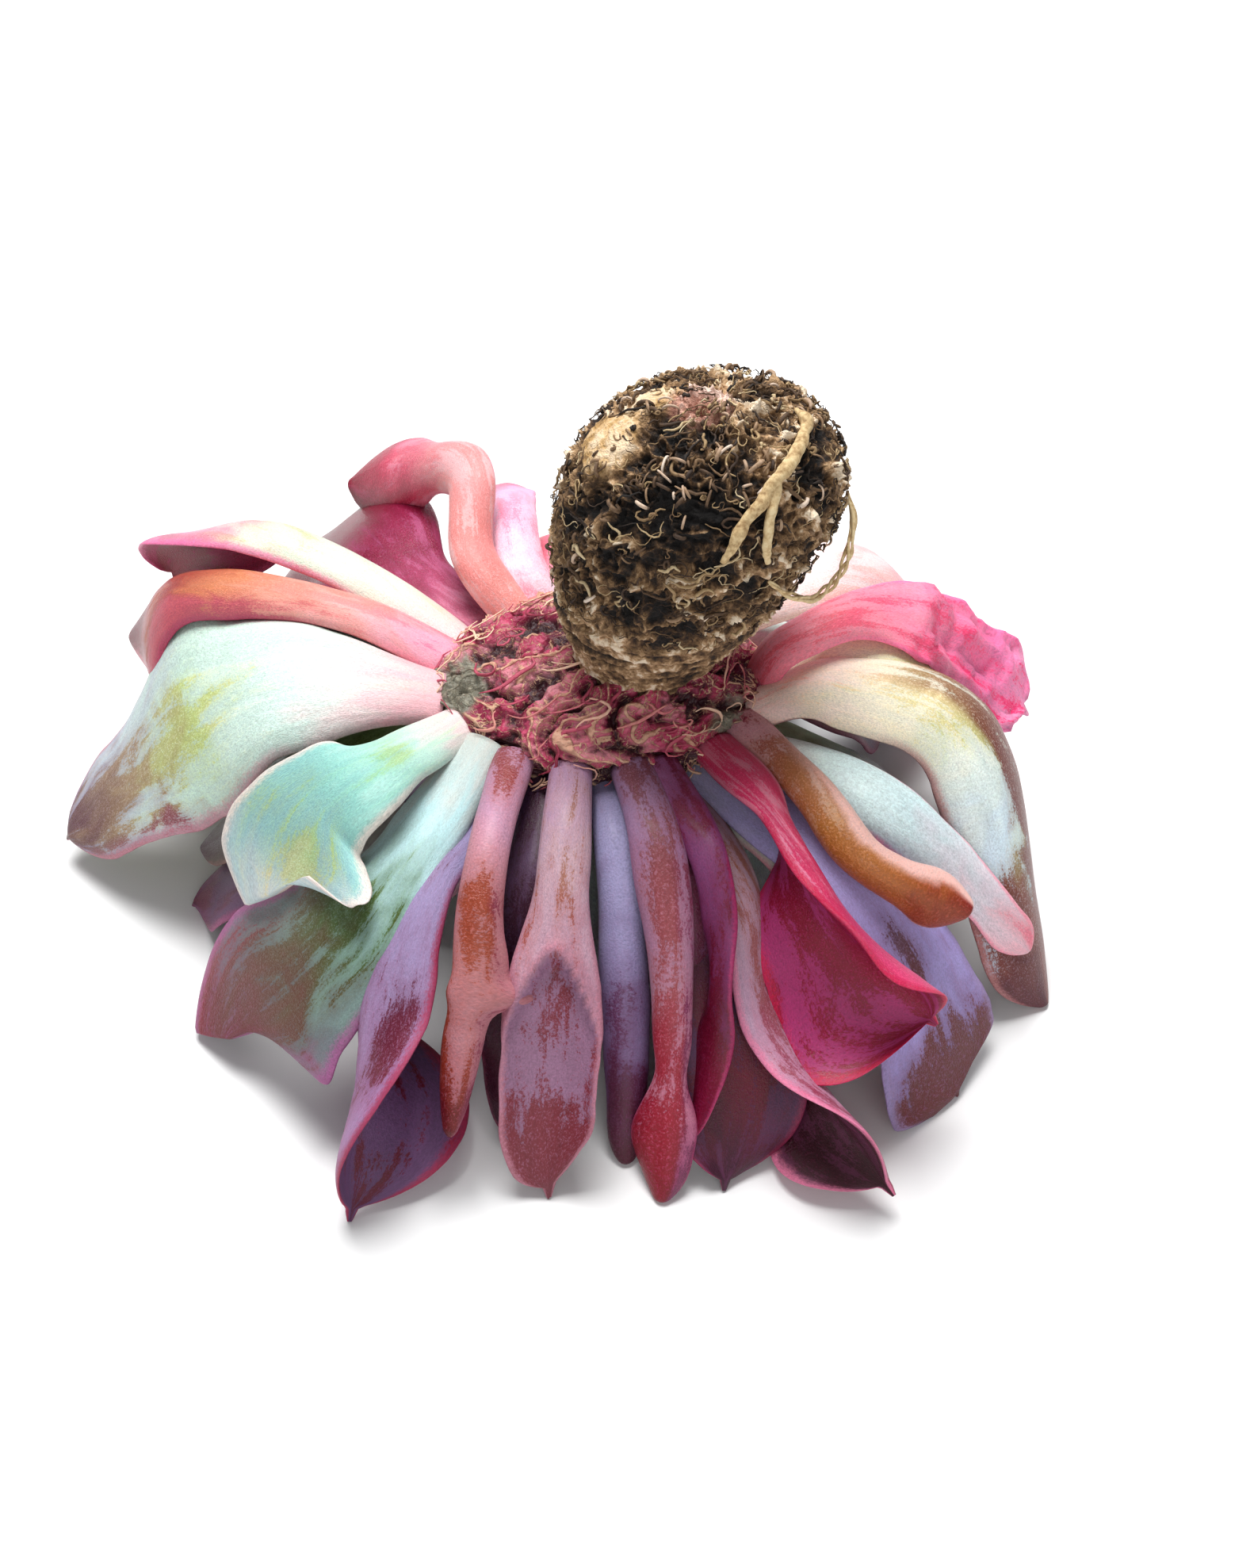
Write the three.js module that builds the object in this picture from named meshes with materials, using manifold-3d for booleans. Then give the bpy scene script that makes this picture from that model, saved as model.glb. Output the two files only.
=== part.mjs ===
// A bare-root echeveria lying upside down on its rosette.
// Its leaves hang out and down from the crown like an open umbrella, and the stem with its root ball
// points up, leaning towards +X. Millimetres, +Z up, -Y is the front.
// The origin is the middle of the footprint, on the surface that the leaf tips rest on.

import * as THREE from 'three';
import { mergeVertices } from 'three/addons/utils/BufferGeometryUtils.js';
import Module from 'manifold-3d';

const wasm = await Module();
wasm.setup();

// ---------- Driving dimensions ----------

const CROWN_HALF_X = 25;        // the collar of old leaf scars, seen from above
const CROWN_HALF_Y = 19.5;
const GAP = 0.3;                // clearance kept between pieces that touch
const SMOOTHING = 0.12;         // edges and steps smaller than this are left out
const BASE_DEPTH = 1.2;         // how far a leaf's base reaches into the crown before it is cut back
const SECTION_POINTS = 10;      // points round a leaf's section
const STATIONS = 9;             // sections along a leaf

const WIDTH_KEYS = [0, 0.28, 0.58, 0.85];   // where along a leaf its widths are given

const RINGS = [                 // the leaves sit in rings: share of the crown's size, height
  [1.0, 40], [0.93, 35.5], [0.78, 30.5], [0.56, 26], [0.32, 22.5],
];

// Turned shapes, from the bottom up: height, half width along X and along Y, offset in X and in Y.
const CROWN_PROFILE = [
  [17, 3, 2.5, 0, 0], [20, 8, 6.5, 0, 0], [26, 13, 10, 0, 0], [31, 18, 14, 0, 0], [36, 22, 17, 0, 0],
  [39.5, CROWN_HALF_X, CROWN_HALF_Y, 0, 0], [43, 24, 19, 0.5, 0], [46, 18.5, 16, 2.5, 0],
];
const STEM_PROFILE = [
  [46.5, 11, 10.5, 7, 0], [50, 11.3, 11, 7.5, -0.2], [55, 13.6, 13, 8.5, -0.8], [60, 15.6, 15, 9.6, -1.3],
];
const ROOT_BALL_PROFILE = [
  [60.5, 15.8, 15.2, 9.8, -1.4], [66, 17.6, 17, 11.2, -2], [72, 19, 18.2, 12.8, -2.6],
  [78, 19.8, 18.6, 14.2, -3.2], [84, 18.8, 17.8, 15.2, -3.8], [89, 15.8, 15, 16, -4.3],
  [92.5, 11, 10.4, 16.6, -4.6], [94.5, 4.5, 4.2, 17, -4.8],
];

// The leaves that show, two lines each. The first line holds the name, the ring, the azimuth of the base,
// then [azimuth, reach, height] of the shoulder, the bend and the tip. The second holds the widths at the
// WIDTH_KEYS with the share of the length that closes the tip, how far the margins curl and how far the
// blade rolls about its spine, each [base, middle, tip] in degrees, the thickness, the skew, which is the
// share of the width that the blade has more on one side of its spine, how far its end slants, the colour.
const LEAVES = [
  ["dry_bract", 0, -128, [-129, 26.5, 38], [-129, 28, 35], [-128, 28.5, 31.5],
    [3, 4, 3.5, 2, 0.3], [20, 20, 20], [0, 0, 0], 1.2, 0, 0, "crimson"],
  ["leaf_left_broad", 0, -174, [-176, 40, 44], [-179, 57, 38], [178, 88.5, 4],
    [9, 22, 31, 22, 0.2], [25, 20, 15], [-10, -30, -25], 4, -0.1, 0, "mint"],
  ["leaf_left_keeled", 0, 165, [164, 41, 46.5], [162.2, 68, 43.5], [158.5, 85, 24],
    [8, 8.5, 13, 26, 0.2], [40, 60, 45], [20, 10, -25], 4.5, 0, 0, "orange"],
  ["leaf_left_fold", 1, 150, [150, 46, 46], [151, 64, 46.5], [150, 85, 29],
    [9, 10, 15, 21, 0.16], [30, 50, 75], [10, 40, 95], 3.5, 0.1, 0, "fold"],
  ["leaf_left_sage", 1, 168, [166, 38, 41], [161, 59, 35], [156, 80, 8],
    [8, 16, 20, 15, 0.2], [20, 20, 20], [0, -10, -10], 3.5, 0, 0, "sage"],
  ["leaf_back_crimson", 1, 136, [139, 41, 39], [134, 58, 37], [131, 83, 18],
    [9, 15, 26, 22, 0.2], [20, 20, 10], [0, -20, -20], 3.5, 0, 0, "crimson"],
  ["leaf_back_hooked", 0, 128, [130, 31, 47], [120, 46, 53], [127, 73, 36],
    [6.5, 6.5, 10, 18, 0.12], [40, 50, 60], [0, -40, -60], 4.5, 0, 0, "hook"],
  ["leaf_back_strap", 0, 115, [117, 27, 45], [111, 41, 45.5], [105, 67, 31],
    [7, 7, 8.5, 9, 0.05], [20, 20, 20], [0, 0, 0], 3.5, 0, 0, "lilac"],
  ["leaf_back_red", 0, 92, [97, 29, 42], [98, 46, 33], [97, 70, 2],
    [8, 14, 22, 14, 0.2], [20, 30, 30], [0, 0, 0], 3.5, 0, 0, "crimson"],
  ["leaf_right_blush", 0, 40, [30, 36, 47], [29, 52, 41], [32, 75, 10],
    [8, 14, 22, 16, 0.2], [20, 30, 30], [0, 20, 20], 3.5, 0, 0, "blush"],
  ["leaf_right_wilted", 0, 2, [-2, 29, 50], [9, 46, 47.5], [9.5, 70, 24],
    [7, 7, 13, 17, 0.08], [20, 20, 5], [0, 30, 45], 3.2, 0.15, 0, "wilted"],
  ["leaf_right_pale", 1, 8, [5, 37, 44], [10, 52, 37], [15, 71, 4],
    [8, 14, 20, 13, 0.2], [20, 30, 20], [0, -10, 0], 3.5, 0, 0, "lime"],
  ["leaf_right_broad", 0, -12, [-9, 36, 45], [-11, 57, 38], [-23, 75, 0],
    [8, 15, 19, 20, 0.16], [25, 35, 40], [10, 10, 0], 4, 0, 0, "olive"],
  ["leaf_right_mint", 1, -20, [-28, 42, 38], [-27, 55, 31], [-23, 71, 11],
    [7, 10, 9, 6.5, 0.1], [20, 20, -20], [0, 20, 40], 3.5, 0, 0, "sage"],
  ["leaf_right_finger", 0, -21, [-37, 38, 41], [-41, 51, 36.5], [-35, 65, 30.5],
    [6, 5, 6, 8, 0.09], [30, 60, 70], [0, 30, 30], 4.5, 0, 0, "finger"],
  ["leaf_right_grey", 2, -38, [-43, 40, 33], [-43, 52, 24], [-40, 58, 6],
    [8, 9, 13, 12, 0.12], [20, 20, 20], [0, 20, 10], 3.5, 0, 0, "greypink"],
  ["leaf_right_lavender", 1, -40, [-41, 45, 33], [-40, 60, 20], [-41, 71, 0],
    [8, 12, 20, 24, 0.05], [20, 10, 5], [0, 0, 0], 3.5, -0.05, -2, "lavender"],
  ["leaf_front_crimson", 0, -37, [-48, 37, 42], [-51, 53, 33.5], [-44.5, 68, 18],
    [6.5, 7.5, 19, 28, 0.16], [20, 50, 58], [0, -80, -126], 3, 0.45, 0, "crimson"],
  ["leaf_front_pale", 1, -60, [-58, 39, 31], [-61, 52, 17], [-58, 79, 4],
    [8, 8.5, 13, 23, 0.2], [20, 40, 55], [0, -50, -118], 3, 0.1, 0, "greypink"],
  ["leaf_front_dusk", 2, -62, [-65, 37, 29], [-68, 53, 15], [-74, 66, 0],
    [8, 12, 22, 20, 0.2], [20, 10, 0], [0, 0, 0], 3.5, 0, 0, "dusk"],
  ["leaf_front_strap", 0, -62, [-65, 37, 38], [-69, 49, 26], [-77, 60, 6],
    [5, 5, 5, 7, 0.15], [20, 20, 20], [0, 60, 60], 3, 0, 0, "plum"],
  ["leaf_front_plum", 1, -68, [-68, 34, 34], [-73, 46, 20], [-76, 56, 2],
    [7, 9, 10, 8, 0.1], [20, 20, 20], [0, 0, 0], 3.5, 0, 0, "plum"],
  ["leaf_front_red_tip", 0, -74, [-75, 34, 38], [-78, 51, 22], [-82, 66, 0],
    [6, 7.5, 5.5, 9.5, 0.14], [20, 40, 50], [0, 10, 20], 4, 0, 0, "redtip"],
  ["leaf_front_slate", 1, -86, [-84, 31, 34], [-85, 47, 18], [-86, 59, 0],
    [5, 6.5, 7, 5.5, 0.08], [20, 40, 40], [0, 0, 0], 4, 0, 0, "slate"],
  ["leaf_front_hooded", 0, -102, [-98, 32, 38], [-97, 50, 25], [-96, 65, 0],
    [5.5, 7, 13.5, 13.5, 0.16], [30, 10, -40], [0, 0, 0], 4, 0, -3, "hooded"],
  ["leaf_front_shade", 1, -112, [-105, 36, 30], [-102, 47, 15], [-100, 58, 0],
    [8, 10, 16, 14, 0.16], [20, 20, 20], [0, 0, 0], 3.5, 0, 0, "dusk"],
  ["leaf_front_orange", 0, -128, [-114, 37, 40], [-110, 50, 31], [-108, 66, 12],
    [5.5, 5, 7, 7, 0.25], [40, 60, 60], [0, 0, 0], 4, 0, 0, "ember"],
  ["leaf_front_fold", 1, -138, [-125, 44, 35], [-122, 60, 22], [-117, 77, 0],
    [8, 12, 28, 30, 0.25], [20, 42, 45], [0, 35, 130], 3, -0.35, 0, "foldback"],
  ["leaf_left_green", 0, -142, [-130, 44, 35.5], [-134, 56, 25], [-144, 68, 5],
    [7, 11, 24, 34, 0.22], [20, 20, 5], [0, -3, 0], 4, -0.05, -9, "green"],
  ["leaf_left_mint", 0, -156, [-144, 39, 44.5], [-147, 48, 40], [-147, 56, 26.5],
    [7, 9, 17, 30, 0.2], [20, 10, -15], [0, -5, -5], 4, 0.1, -7, "mint"],
  ["leaf_left_olive", 1, -174, [-168, 37, 35], [-171, 49, 27], [-179, 65, 6],
    [8, 12, 16, 13, 0.2], [20, 20, 20], [0, -10, 0], 3.5, 0, 0, "olive"],
  ["leaf_left_plum", 2, -168, [-165, 38, 29], [-167, 53, 17], [-173, 67, 0],
    [8, 12, 18, 16, 0.15], [20, 20, 20], [0, 0, 0], 3.5, 0, 0, "plum"],
];

// Roots that lie on the root ball, as branches: radius, then points [azimuth on the ball, height, stand-off].
const ROOTS = {
  root_forked: [
    [1, [[-4, 93, 0], [-18, 92.2, 0.2], [-46, 91.2, 0.3], [-68, 89, 0.3], [-80, 84.5, 0.3], [-84, 81, 0]]],
    [0.7, [[-60, 89.8, 0.2], [-66, 86.5, 0.5], [-68, 83, 0.4], [-66, 80, 0]]],
  ],
  root_loop: [
    [0.6, [[-6, 80, 0], [-14, 77, 2], [-28, 73, 3.6], [-42, 72, 3], [-56, 74.5, 1.2], [-62, 76, 0]]],
  ],
};
const ROOT_STEPS = 10;          // sections along a root

// Leaves that the rosette hides: name stem, ring, first azimuth, step, count, reach and height of the tip.
const HIDDEN_LEAVES = [
  ["leaf_back_outer", 1, 112, -26, 4, 66, 0],
  ["leaf_back_inner", 2, 150, -30, 6, 56, 3],
  ["leaf_side_inner", 2, -14, 0, 1, 56, 3],
  ["leaf_heart", 3, 20, 60, 6, 34, 2],
  ["leaf_bud", 4, 45, 90, 4, 12, 3],
];

const COLOURS = {
  mint: 0xcfd9bd, orange: 0xd08a6b, fold: 0xd58f98, sage: 0xc3d0c6, crimson: 0xb8405f, hook: 0xd77f83,
  lilac: 0xc795ab, blush: 0xe7a9b4, wilted: 0xe35f86, lime: 0xcbd49b, olive: 0xb7a583, finger: 0xc07a4c,
  greypink: 0xb89a9c, lavender: 0xa9a3bd, dusk: 0x6d4a62, plum: 0x7d3553, redtip: 0xa8646b,
  slate: 0x9b8ca6, hooded: 0x9a6f83, ember: 0xb45f4f, foldback: 0x94728c, green: 0x93a37a,
  crown: 0xb4546a, stem: 0x6b5137, roots: 0x8a6f4c, pale_root: 0xd9c7a0,
};

// ---------- Small helpers ----------

const radians = THREE.MathUtils.degToRad;

function cylindrical([azimuth, reach, height]) {
  const angle = radians(azimuth);
  return new THREE.Vector3(reach * Math.cos(angle), reach * Math.sin(angle), height);
}

// A value that passes smoothly through values[i] at keys[i].
function keyed(at, keys, values) {
  let value = values[0];
  for (let i = 0; i + 1 < keys.length; i++) {
    const blend = THREE.MathUtils.smoothstep(at, keys[i], keys[i + 1]);
    value += (values[i + 1] - values[i]) * blend;
  }
  return value;
}

// The point on a ring of the crown where a leaf grows out.
function basePoint(ring, azimuth) {
  const [share, height] = RINGS[ring];
  const angle = radians(azimuth);
  const halfX = CROWN_HALF_X * share;
  const halfY = CROWN_HALF_Y * share;
  const reach = 1 / Math.hypot(Math.cos(angle) / halfX, Math.sin(angle) / halfY);
  return cylindrical([azimuth, reach - BASE_DEPTH, height]);
}

// ---------- Solids ----------

// Bends a closed cylinder: moveTo(along, across, side) gives the new place of a point, where along runs
// from 0 to 1 between the ends, and across and side run from -1 to 1 over the section.
function bentCylinder(points, stations, moveTo) {
  const geometry = new THREE.CylinderGeometry(1, 1, 1, points, stations);
  geometry.deleteAttribute('normal');
  geometry.deleteAttribute('uv');
  const position = geometry.attributes.position;
  for (let i = 0; i < position.count; i++) {
    const place = moveTo(position.getY(i) + 0.5, position.getX(i), position.getZ(i));
    position.setXYZ(i, place.x, place.y, place.z);
  }
  return mergeVertices(geometry, 1e-4);
}

function toSolid(geometry) {
  return new wasm.Manifold(new wasm.Mesh({
    numProp: 3,
    vertProperties: new Float32Array(geometry.attributes.position.array),
    triVerts: new Uint32Array(geometry.index.array),
  }));
}

function toGeometry(solid) {
  const mesh = solid.getMesh();
  const geometry = new THREE.BufferGeometry();
  geometry.setAttribute('position', new THREE.BufferAttribute(new Float32Array(mesh.vertProperties), 3));
  geometry.setIndex(new THREE.BufferAttribute(new Uint32Array(mesh.triVerts), 1));
  geometry.computeVertexNormals();
  return geometry;
}

// A round solid through the stations of a profile, made bigger all over by grow.
function turned(profile, points, grow = 0) {
  return toSolid(bentCylinder(points, profile.length - 1, (along, across, side) => {
    const at = Math.round(along * (profile.length - 1));
    const [height, halfX, halfY, offsetX, offsetY] = profile[at];
    const lift = at === 0 ? -grow : at === profile.length - 1 ? grow : 0;
    return new THREE.Vector3(
      offsetX + (halfX + grow) * side,
      offsetY + (halfY + grow) * across,
      height + lift,
    );
  }));
}

// The middle of a round root at an azimuth and height on the root ball, standing off from its side.
function onRootBall([azimuth, height, standOff], radius) {
  const upper = ROOT_BALL_PROFILE.findIndex(([level]) => level >= height);
  const [low, high] = [ROOT_BALL_PROFILE[upper - 1], ROOT_BALL_PROFILE[upper]];
  const share = (height - low[0]) / (high[0] - low[0]);
  const between = low.map((value, i) => THREE.MathUtils.lerp(value, high[i], share));
  const [, halfX, halfY, offsetX, offsetY] = between;
  const angle = radians(azimuth);
  return new THREE.Vector3(
    offsetX + (halfX + standOff + radius) * Math.cos(angle),
    offsetY + (halfY + standOff + radius) * Math.sin(angle),
    height,
  );
}

// A root's branches joined, each a round tube that lies on the root ball.
function rootTubes(branches, grow = 0) {
  const tubes = branches.map(([radius, route]) => {
    return tube(route.map((place) => onRootBall(place, radius)), radius + grow);
  });
  return tubes.reduce((joined, next) => joined.add(next));
}

// A round tube through points, with flat ends.
function tube(points, radius) {
  const curve = new THREE.CatmullRomCurve3(points);
  const section = new THREE.Shape().absarc(0, 0, radius, 0, 2 * Math.PI);
  const options = { extrudePath: curve, steps: ROOT_STEPS, curveSegments: 4 };
  const geometry = new THREE.ExtrudeGeometry(section, options);
  geometry.deleteAttribute('normal');
  geometry.deleteAttribute('uv');
  return toSolid(mergeVertices(geometry, 1e-4));
}

// ---------- Leaves ----------

// The line that a leaf's middle follows, from the crown over its shoulder and bend to its tip.
function leafSpine(ring, azimuth, shoulder, bend, tip) {
  const spine = new THREE.CatmullRomCurve3(
    [basePoint(ring, azimuth), ...[shoulder, bend, tip].map(cylindrical)], false, 'catmullrom', 0.5,
  );
  spine.arcLengthDivisions = 120;
  return spine;
}

// Directions at one place on a spine, rolled about it: across points out of the leaf's back.
function frameAt(spine, along, roll) {
  const tangent = spine.getTangentAt(along);
  const heading = spine.points.at(-1).clone().sub(spine.points[0]).setZ(0).normalize();
  const level = new THREE.Vector3(0, 0, 1).cross(heading);
  const side = level.addScaledVector(tangent, -level.dot(tangent)).normalize();
  const across = tangent.clone().cross(side);
  side.applyAxisAngle(tangent, roll);
  across.applyAxisAngle(tangent, roll);
  return { tangent, side, across };
}

// One leaf: a fleshy blade that follows its spine, curls along its margins and closes at its tip.
function leaf(row, stations, grow = 0) {
  const [, ring, azimuth, shoulder, bend, tip, widths, curls, rolls, thickness, skew, slant] = row;
  const spine = leafSpine(ring, azimuth, shoulder, bend, tip);
  const closing = widths.at(-1);
  const place = bentCylinder(SECTION_POINTS, stations, (along, across, side) => {
    const at = 1 - (1 - along) ** 1.25;
    const middle = spine.getPointAt(at);
    const frame = frameAt(spine, at, radians(keyed(at, [0.1, 0.55, 0.95], rolls)));
    const toTip = THREE.MathUtils.clamp((at - 1 + closing) / closing, 0, 1);
    const width = keyed(at, WIDTH_KEYS, widths) * (1 - toTip ** 2) ** 0.75 + 0.6;
    const thick = Math.min(thickness * keyed(at, [0, 0.45, 1], [1, 0.72, 0.3]), 0.6 * width);
    const curl = radians(keyed(at, [0.12, 0.5, 0.9], curls)) || 0.001;
    const lean = side * curl;
    const uneven = 1 + skew * THREE.MathUtils.smoothstep(at, 0.1, 0.5) * Math.sign(side);
    const radius = width / 2 * uneven / curl;
    const skin = across * ((across > 0 ? 0.65 : 0.4) * thick + grow);
    const out = (radius + skin) * Math.sin(lean) + grow * side * Math.cos(lean);
    const up = (radius + skin) * Math.cos(lean) - radius - grow * side * Math.sin(lean);
    const beyond = along === 0 ? -grow : along === 1 ? grow : 0;
    const slanted = slant * side * THREE.MathUtils.smoothstep(at, 0.6, 1) * Math.min(width / 10, 1);
    middle.addScaledVector(frame.tangent, beyond + slanted);
    return middle.addScaledVector(frame.side, out).addScaledVector(frame.across, up);
  });
  return toSolid(place);
}

// A row for each hidden leaf: like the ones that show, but plainer.
function hiddenRows() {
  const rows = [];
  for (const [stem, ring, first, step, count, reach, height] of HIDDEN_LEAVES) {
    for (let i = 0; i < count; i++) {
      const azimuth = first + i * step;
      const [share, ringHeight] = RINGS[ring];
      const out = share * 22;
      const shoulder = [azimuth, THREE.MathUtils.lerp(out, reach, 0.3), ringHeight - 2];
      const bend = [azimuth, THREE.MathUtils.lerp(out, reach, 0.7), ringHeight * 0.58];
      const belly = THREE.MathUtils.lerp(10, 22, share);
      rows.push([
        `${stem}_${i + 1}`, ring, azimuth, shoulder, bend, [azimuth, reach, height],
        [7, belly * 0.6, belly, belly * 0.7, 0.2], [20, 25, 25], [0, 0, 0], 3.6, 0, 0,
        ring < 3 ? 'lavender' : 'sage',
      ]);
    }
  }
  return rows;
}

// ---------- Assembly ----------

const plant = new THREE.Group();
const placed = [];              // every piece so far, with the room it keeps clear

// The biggest single body of a solid.
function biggest(solid) {
  const bodies = solid.decompose();
  return bodies.reduce((best, body) => (body.volume() > best.volume() ? body : best));
}

// Adds a piece, cut back where it would come closer than the gap to a piece that is already there.
function add(name, solid, room, colour) {
  let free = solid.trimByPlane([0, 0, 1], 0);
  for (const other of placed) {
    if (free.boundingBox().min.every((low, i) => low < other.box.max[i])
      && free.boundingBox().max.every((high, i) => high > other.box.min[i])) {
      free = free.subtract(other.room);
    }
  }
  free = biggest(free.simplify(SMOOTHING));
  placed.push({ room, box: room.boundingBox() });
  const material = new THREE.MeshStandardMaterial({ color: COLOURS[colour], roughness: 0.6, metalness: 0 });
  const mesh = new THREE.Mesh(toGeometry(free), material);
  mesh.name = name;
  plant.add(mesh);
}

add('stem', turned(STEM_PROFILE, 24), turned(STEM_PROFILE, 24, GAP), 'stem');
add('root_ball', turned(ROOT_BALL_PROFILE, 24), turned(ROOT_BALL_PROFILE, 24, GAP), 'roots');
for (const [name, branches] of Object.entries(ROOTS)) {
  add(name, rootTubes(branches), rootTubes(branches, GAP), 'pale_root');
}

add('crown', turned(CROWN_PROFILE, 28), turned(CROWN_PROFILE, 28, GAP), 'crown');

for (const row of [...LEAVES, ...hiddenRows()]) {
  const stations = row[1] < 3 ? STATIONS : 7;
  add(row[0], leaf(row, stations), leaf(row, stations, GAP), row.at(-1));
}

// The origin goes to the middle of the footprint.
const middle = new THREE.Box3().setFromObject(plant).getCenter(new THREE.Vector3());
plant.position.set(-middle.x, -middle.y, 0);

export default plant;
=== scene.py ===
"""The looks of a bare-root echeveria that lies upside down on its rosette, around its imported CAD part.

The leaves, the crown, the stem and the roots are meshes in the CAD part's own frame. Their places are in
millimetres from the crown's axis, with +Z up and -Y at the front, and become metres in make_piece.
"""

import math

import bpy
import numpy as np
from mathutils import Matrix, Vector


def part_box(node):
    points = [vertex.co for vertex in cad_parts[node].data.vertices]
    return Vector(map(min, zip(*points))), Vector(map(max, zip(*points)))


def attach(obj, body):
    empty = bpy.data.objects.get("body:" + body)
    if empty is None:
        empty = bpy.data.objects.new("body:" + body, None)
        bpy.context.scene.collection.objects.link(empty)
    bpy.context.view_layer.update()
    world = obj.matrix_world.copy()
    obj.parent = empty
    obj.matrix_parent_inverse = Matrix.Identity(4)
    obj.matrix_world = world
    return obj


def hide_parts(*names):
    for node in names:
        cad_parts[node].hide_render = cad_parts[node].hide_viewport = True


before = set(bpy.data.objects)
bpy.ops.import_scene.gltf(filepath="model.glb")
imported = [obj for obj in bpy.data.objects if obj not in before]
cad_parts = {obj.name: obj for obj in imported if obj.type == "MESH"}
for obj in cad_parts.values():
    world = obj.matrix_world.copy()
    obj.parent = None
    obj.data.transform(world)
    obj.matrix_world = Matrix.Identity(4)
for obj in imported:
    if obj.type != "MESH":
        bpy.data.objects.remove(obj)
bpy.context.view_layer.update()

MM = 0.001

# ---------- The part's own dimensions, in millimetres ----------

CROWN_LOW, CROWN_HIGH = (np.array(corner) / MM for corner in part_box("crown"))
CROWN_HALF_X, CROWN_HALF_Y = (CROWN_HIGH - CROWN_LOW)[:2] / 2
AXIS = np.array([*((CROWN_LOW + CROWN_HIGH) / 2)[:2], 0.0])     # the crown's axis, in the frame
BASE_DEPTH = 1.2                # how far a leaf's base reaches into the crown
CROWN_REACH = 22                # about how far the crown reaches, where the hidden leaves start

WIDTH_KEYS = [0, 0.28, 0.58, 0.85]      # where along a leaf its widths, curls and rolls are given
CURL_KEYS = [0.12, 0.5, 0.9]
ROLL_KEYS = [0.1, 0.55, 0.95]

RINGS = [                       # the leaves sit in rings: share of the crown's size, height
    (1.0, 40), (0.93, 35.5), (0.78, 30.5), (0.56, 26), (0.32, 22.5),
]

# Turned shapes: height, half width along X and along Y, offset in X and in Y.
CROWN_PROFILE = [
    (17, 3, 2.5, 0, 0), (20, 8, 6.5, 0, 0), (26, 13, 10, 0, 0), (31, 18, 14, 0, 0), (36, 22, 17, 0, 0),
    (39.5, 25, 19.5, 0, 0), (43, 24, 19, 0.5, 0), (46, 18.5, 16.5, 2.5, 0), (48.5, 13.5, 13, 5.5, 0),
    (50, 9.5, 9, 7.2, 0),
]
STEM_PROFILE = [
    (46.5, 10.5, 10, 7, 0), (50, 11.3, 11, 7.5, -0.2), (55, 13.6, 13, 8.5, -0.8),
    (60, 15.6, 15, 9.6, -1.3), (61.5, 14.5, 14, 10, -1.5),
]
BALL_PROFILE = [
    (59, 13.5, 13, 9.4, -1.3), (60.5, 15.8, 15.2, 9.8, -1.4), (66, 17.6, 17, 11.2, -2),
    (72, 19, 18.2, 12.8, -2.6), (78, 19.8, 18.6, 14.2, -3.2), (84, 18.8, 17.8, 15.2, -3.8),
    (89, 15.8, 15, 16, -4.3), (92.5, 11, 10.4, 16.6, -4.6), (94.5, 4.5, 4.2, 17, -4.8),
    (94.8, 0.3, 0.3, 17, -4.8),
]

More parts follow.
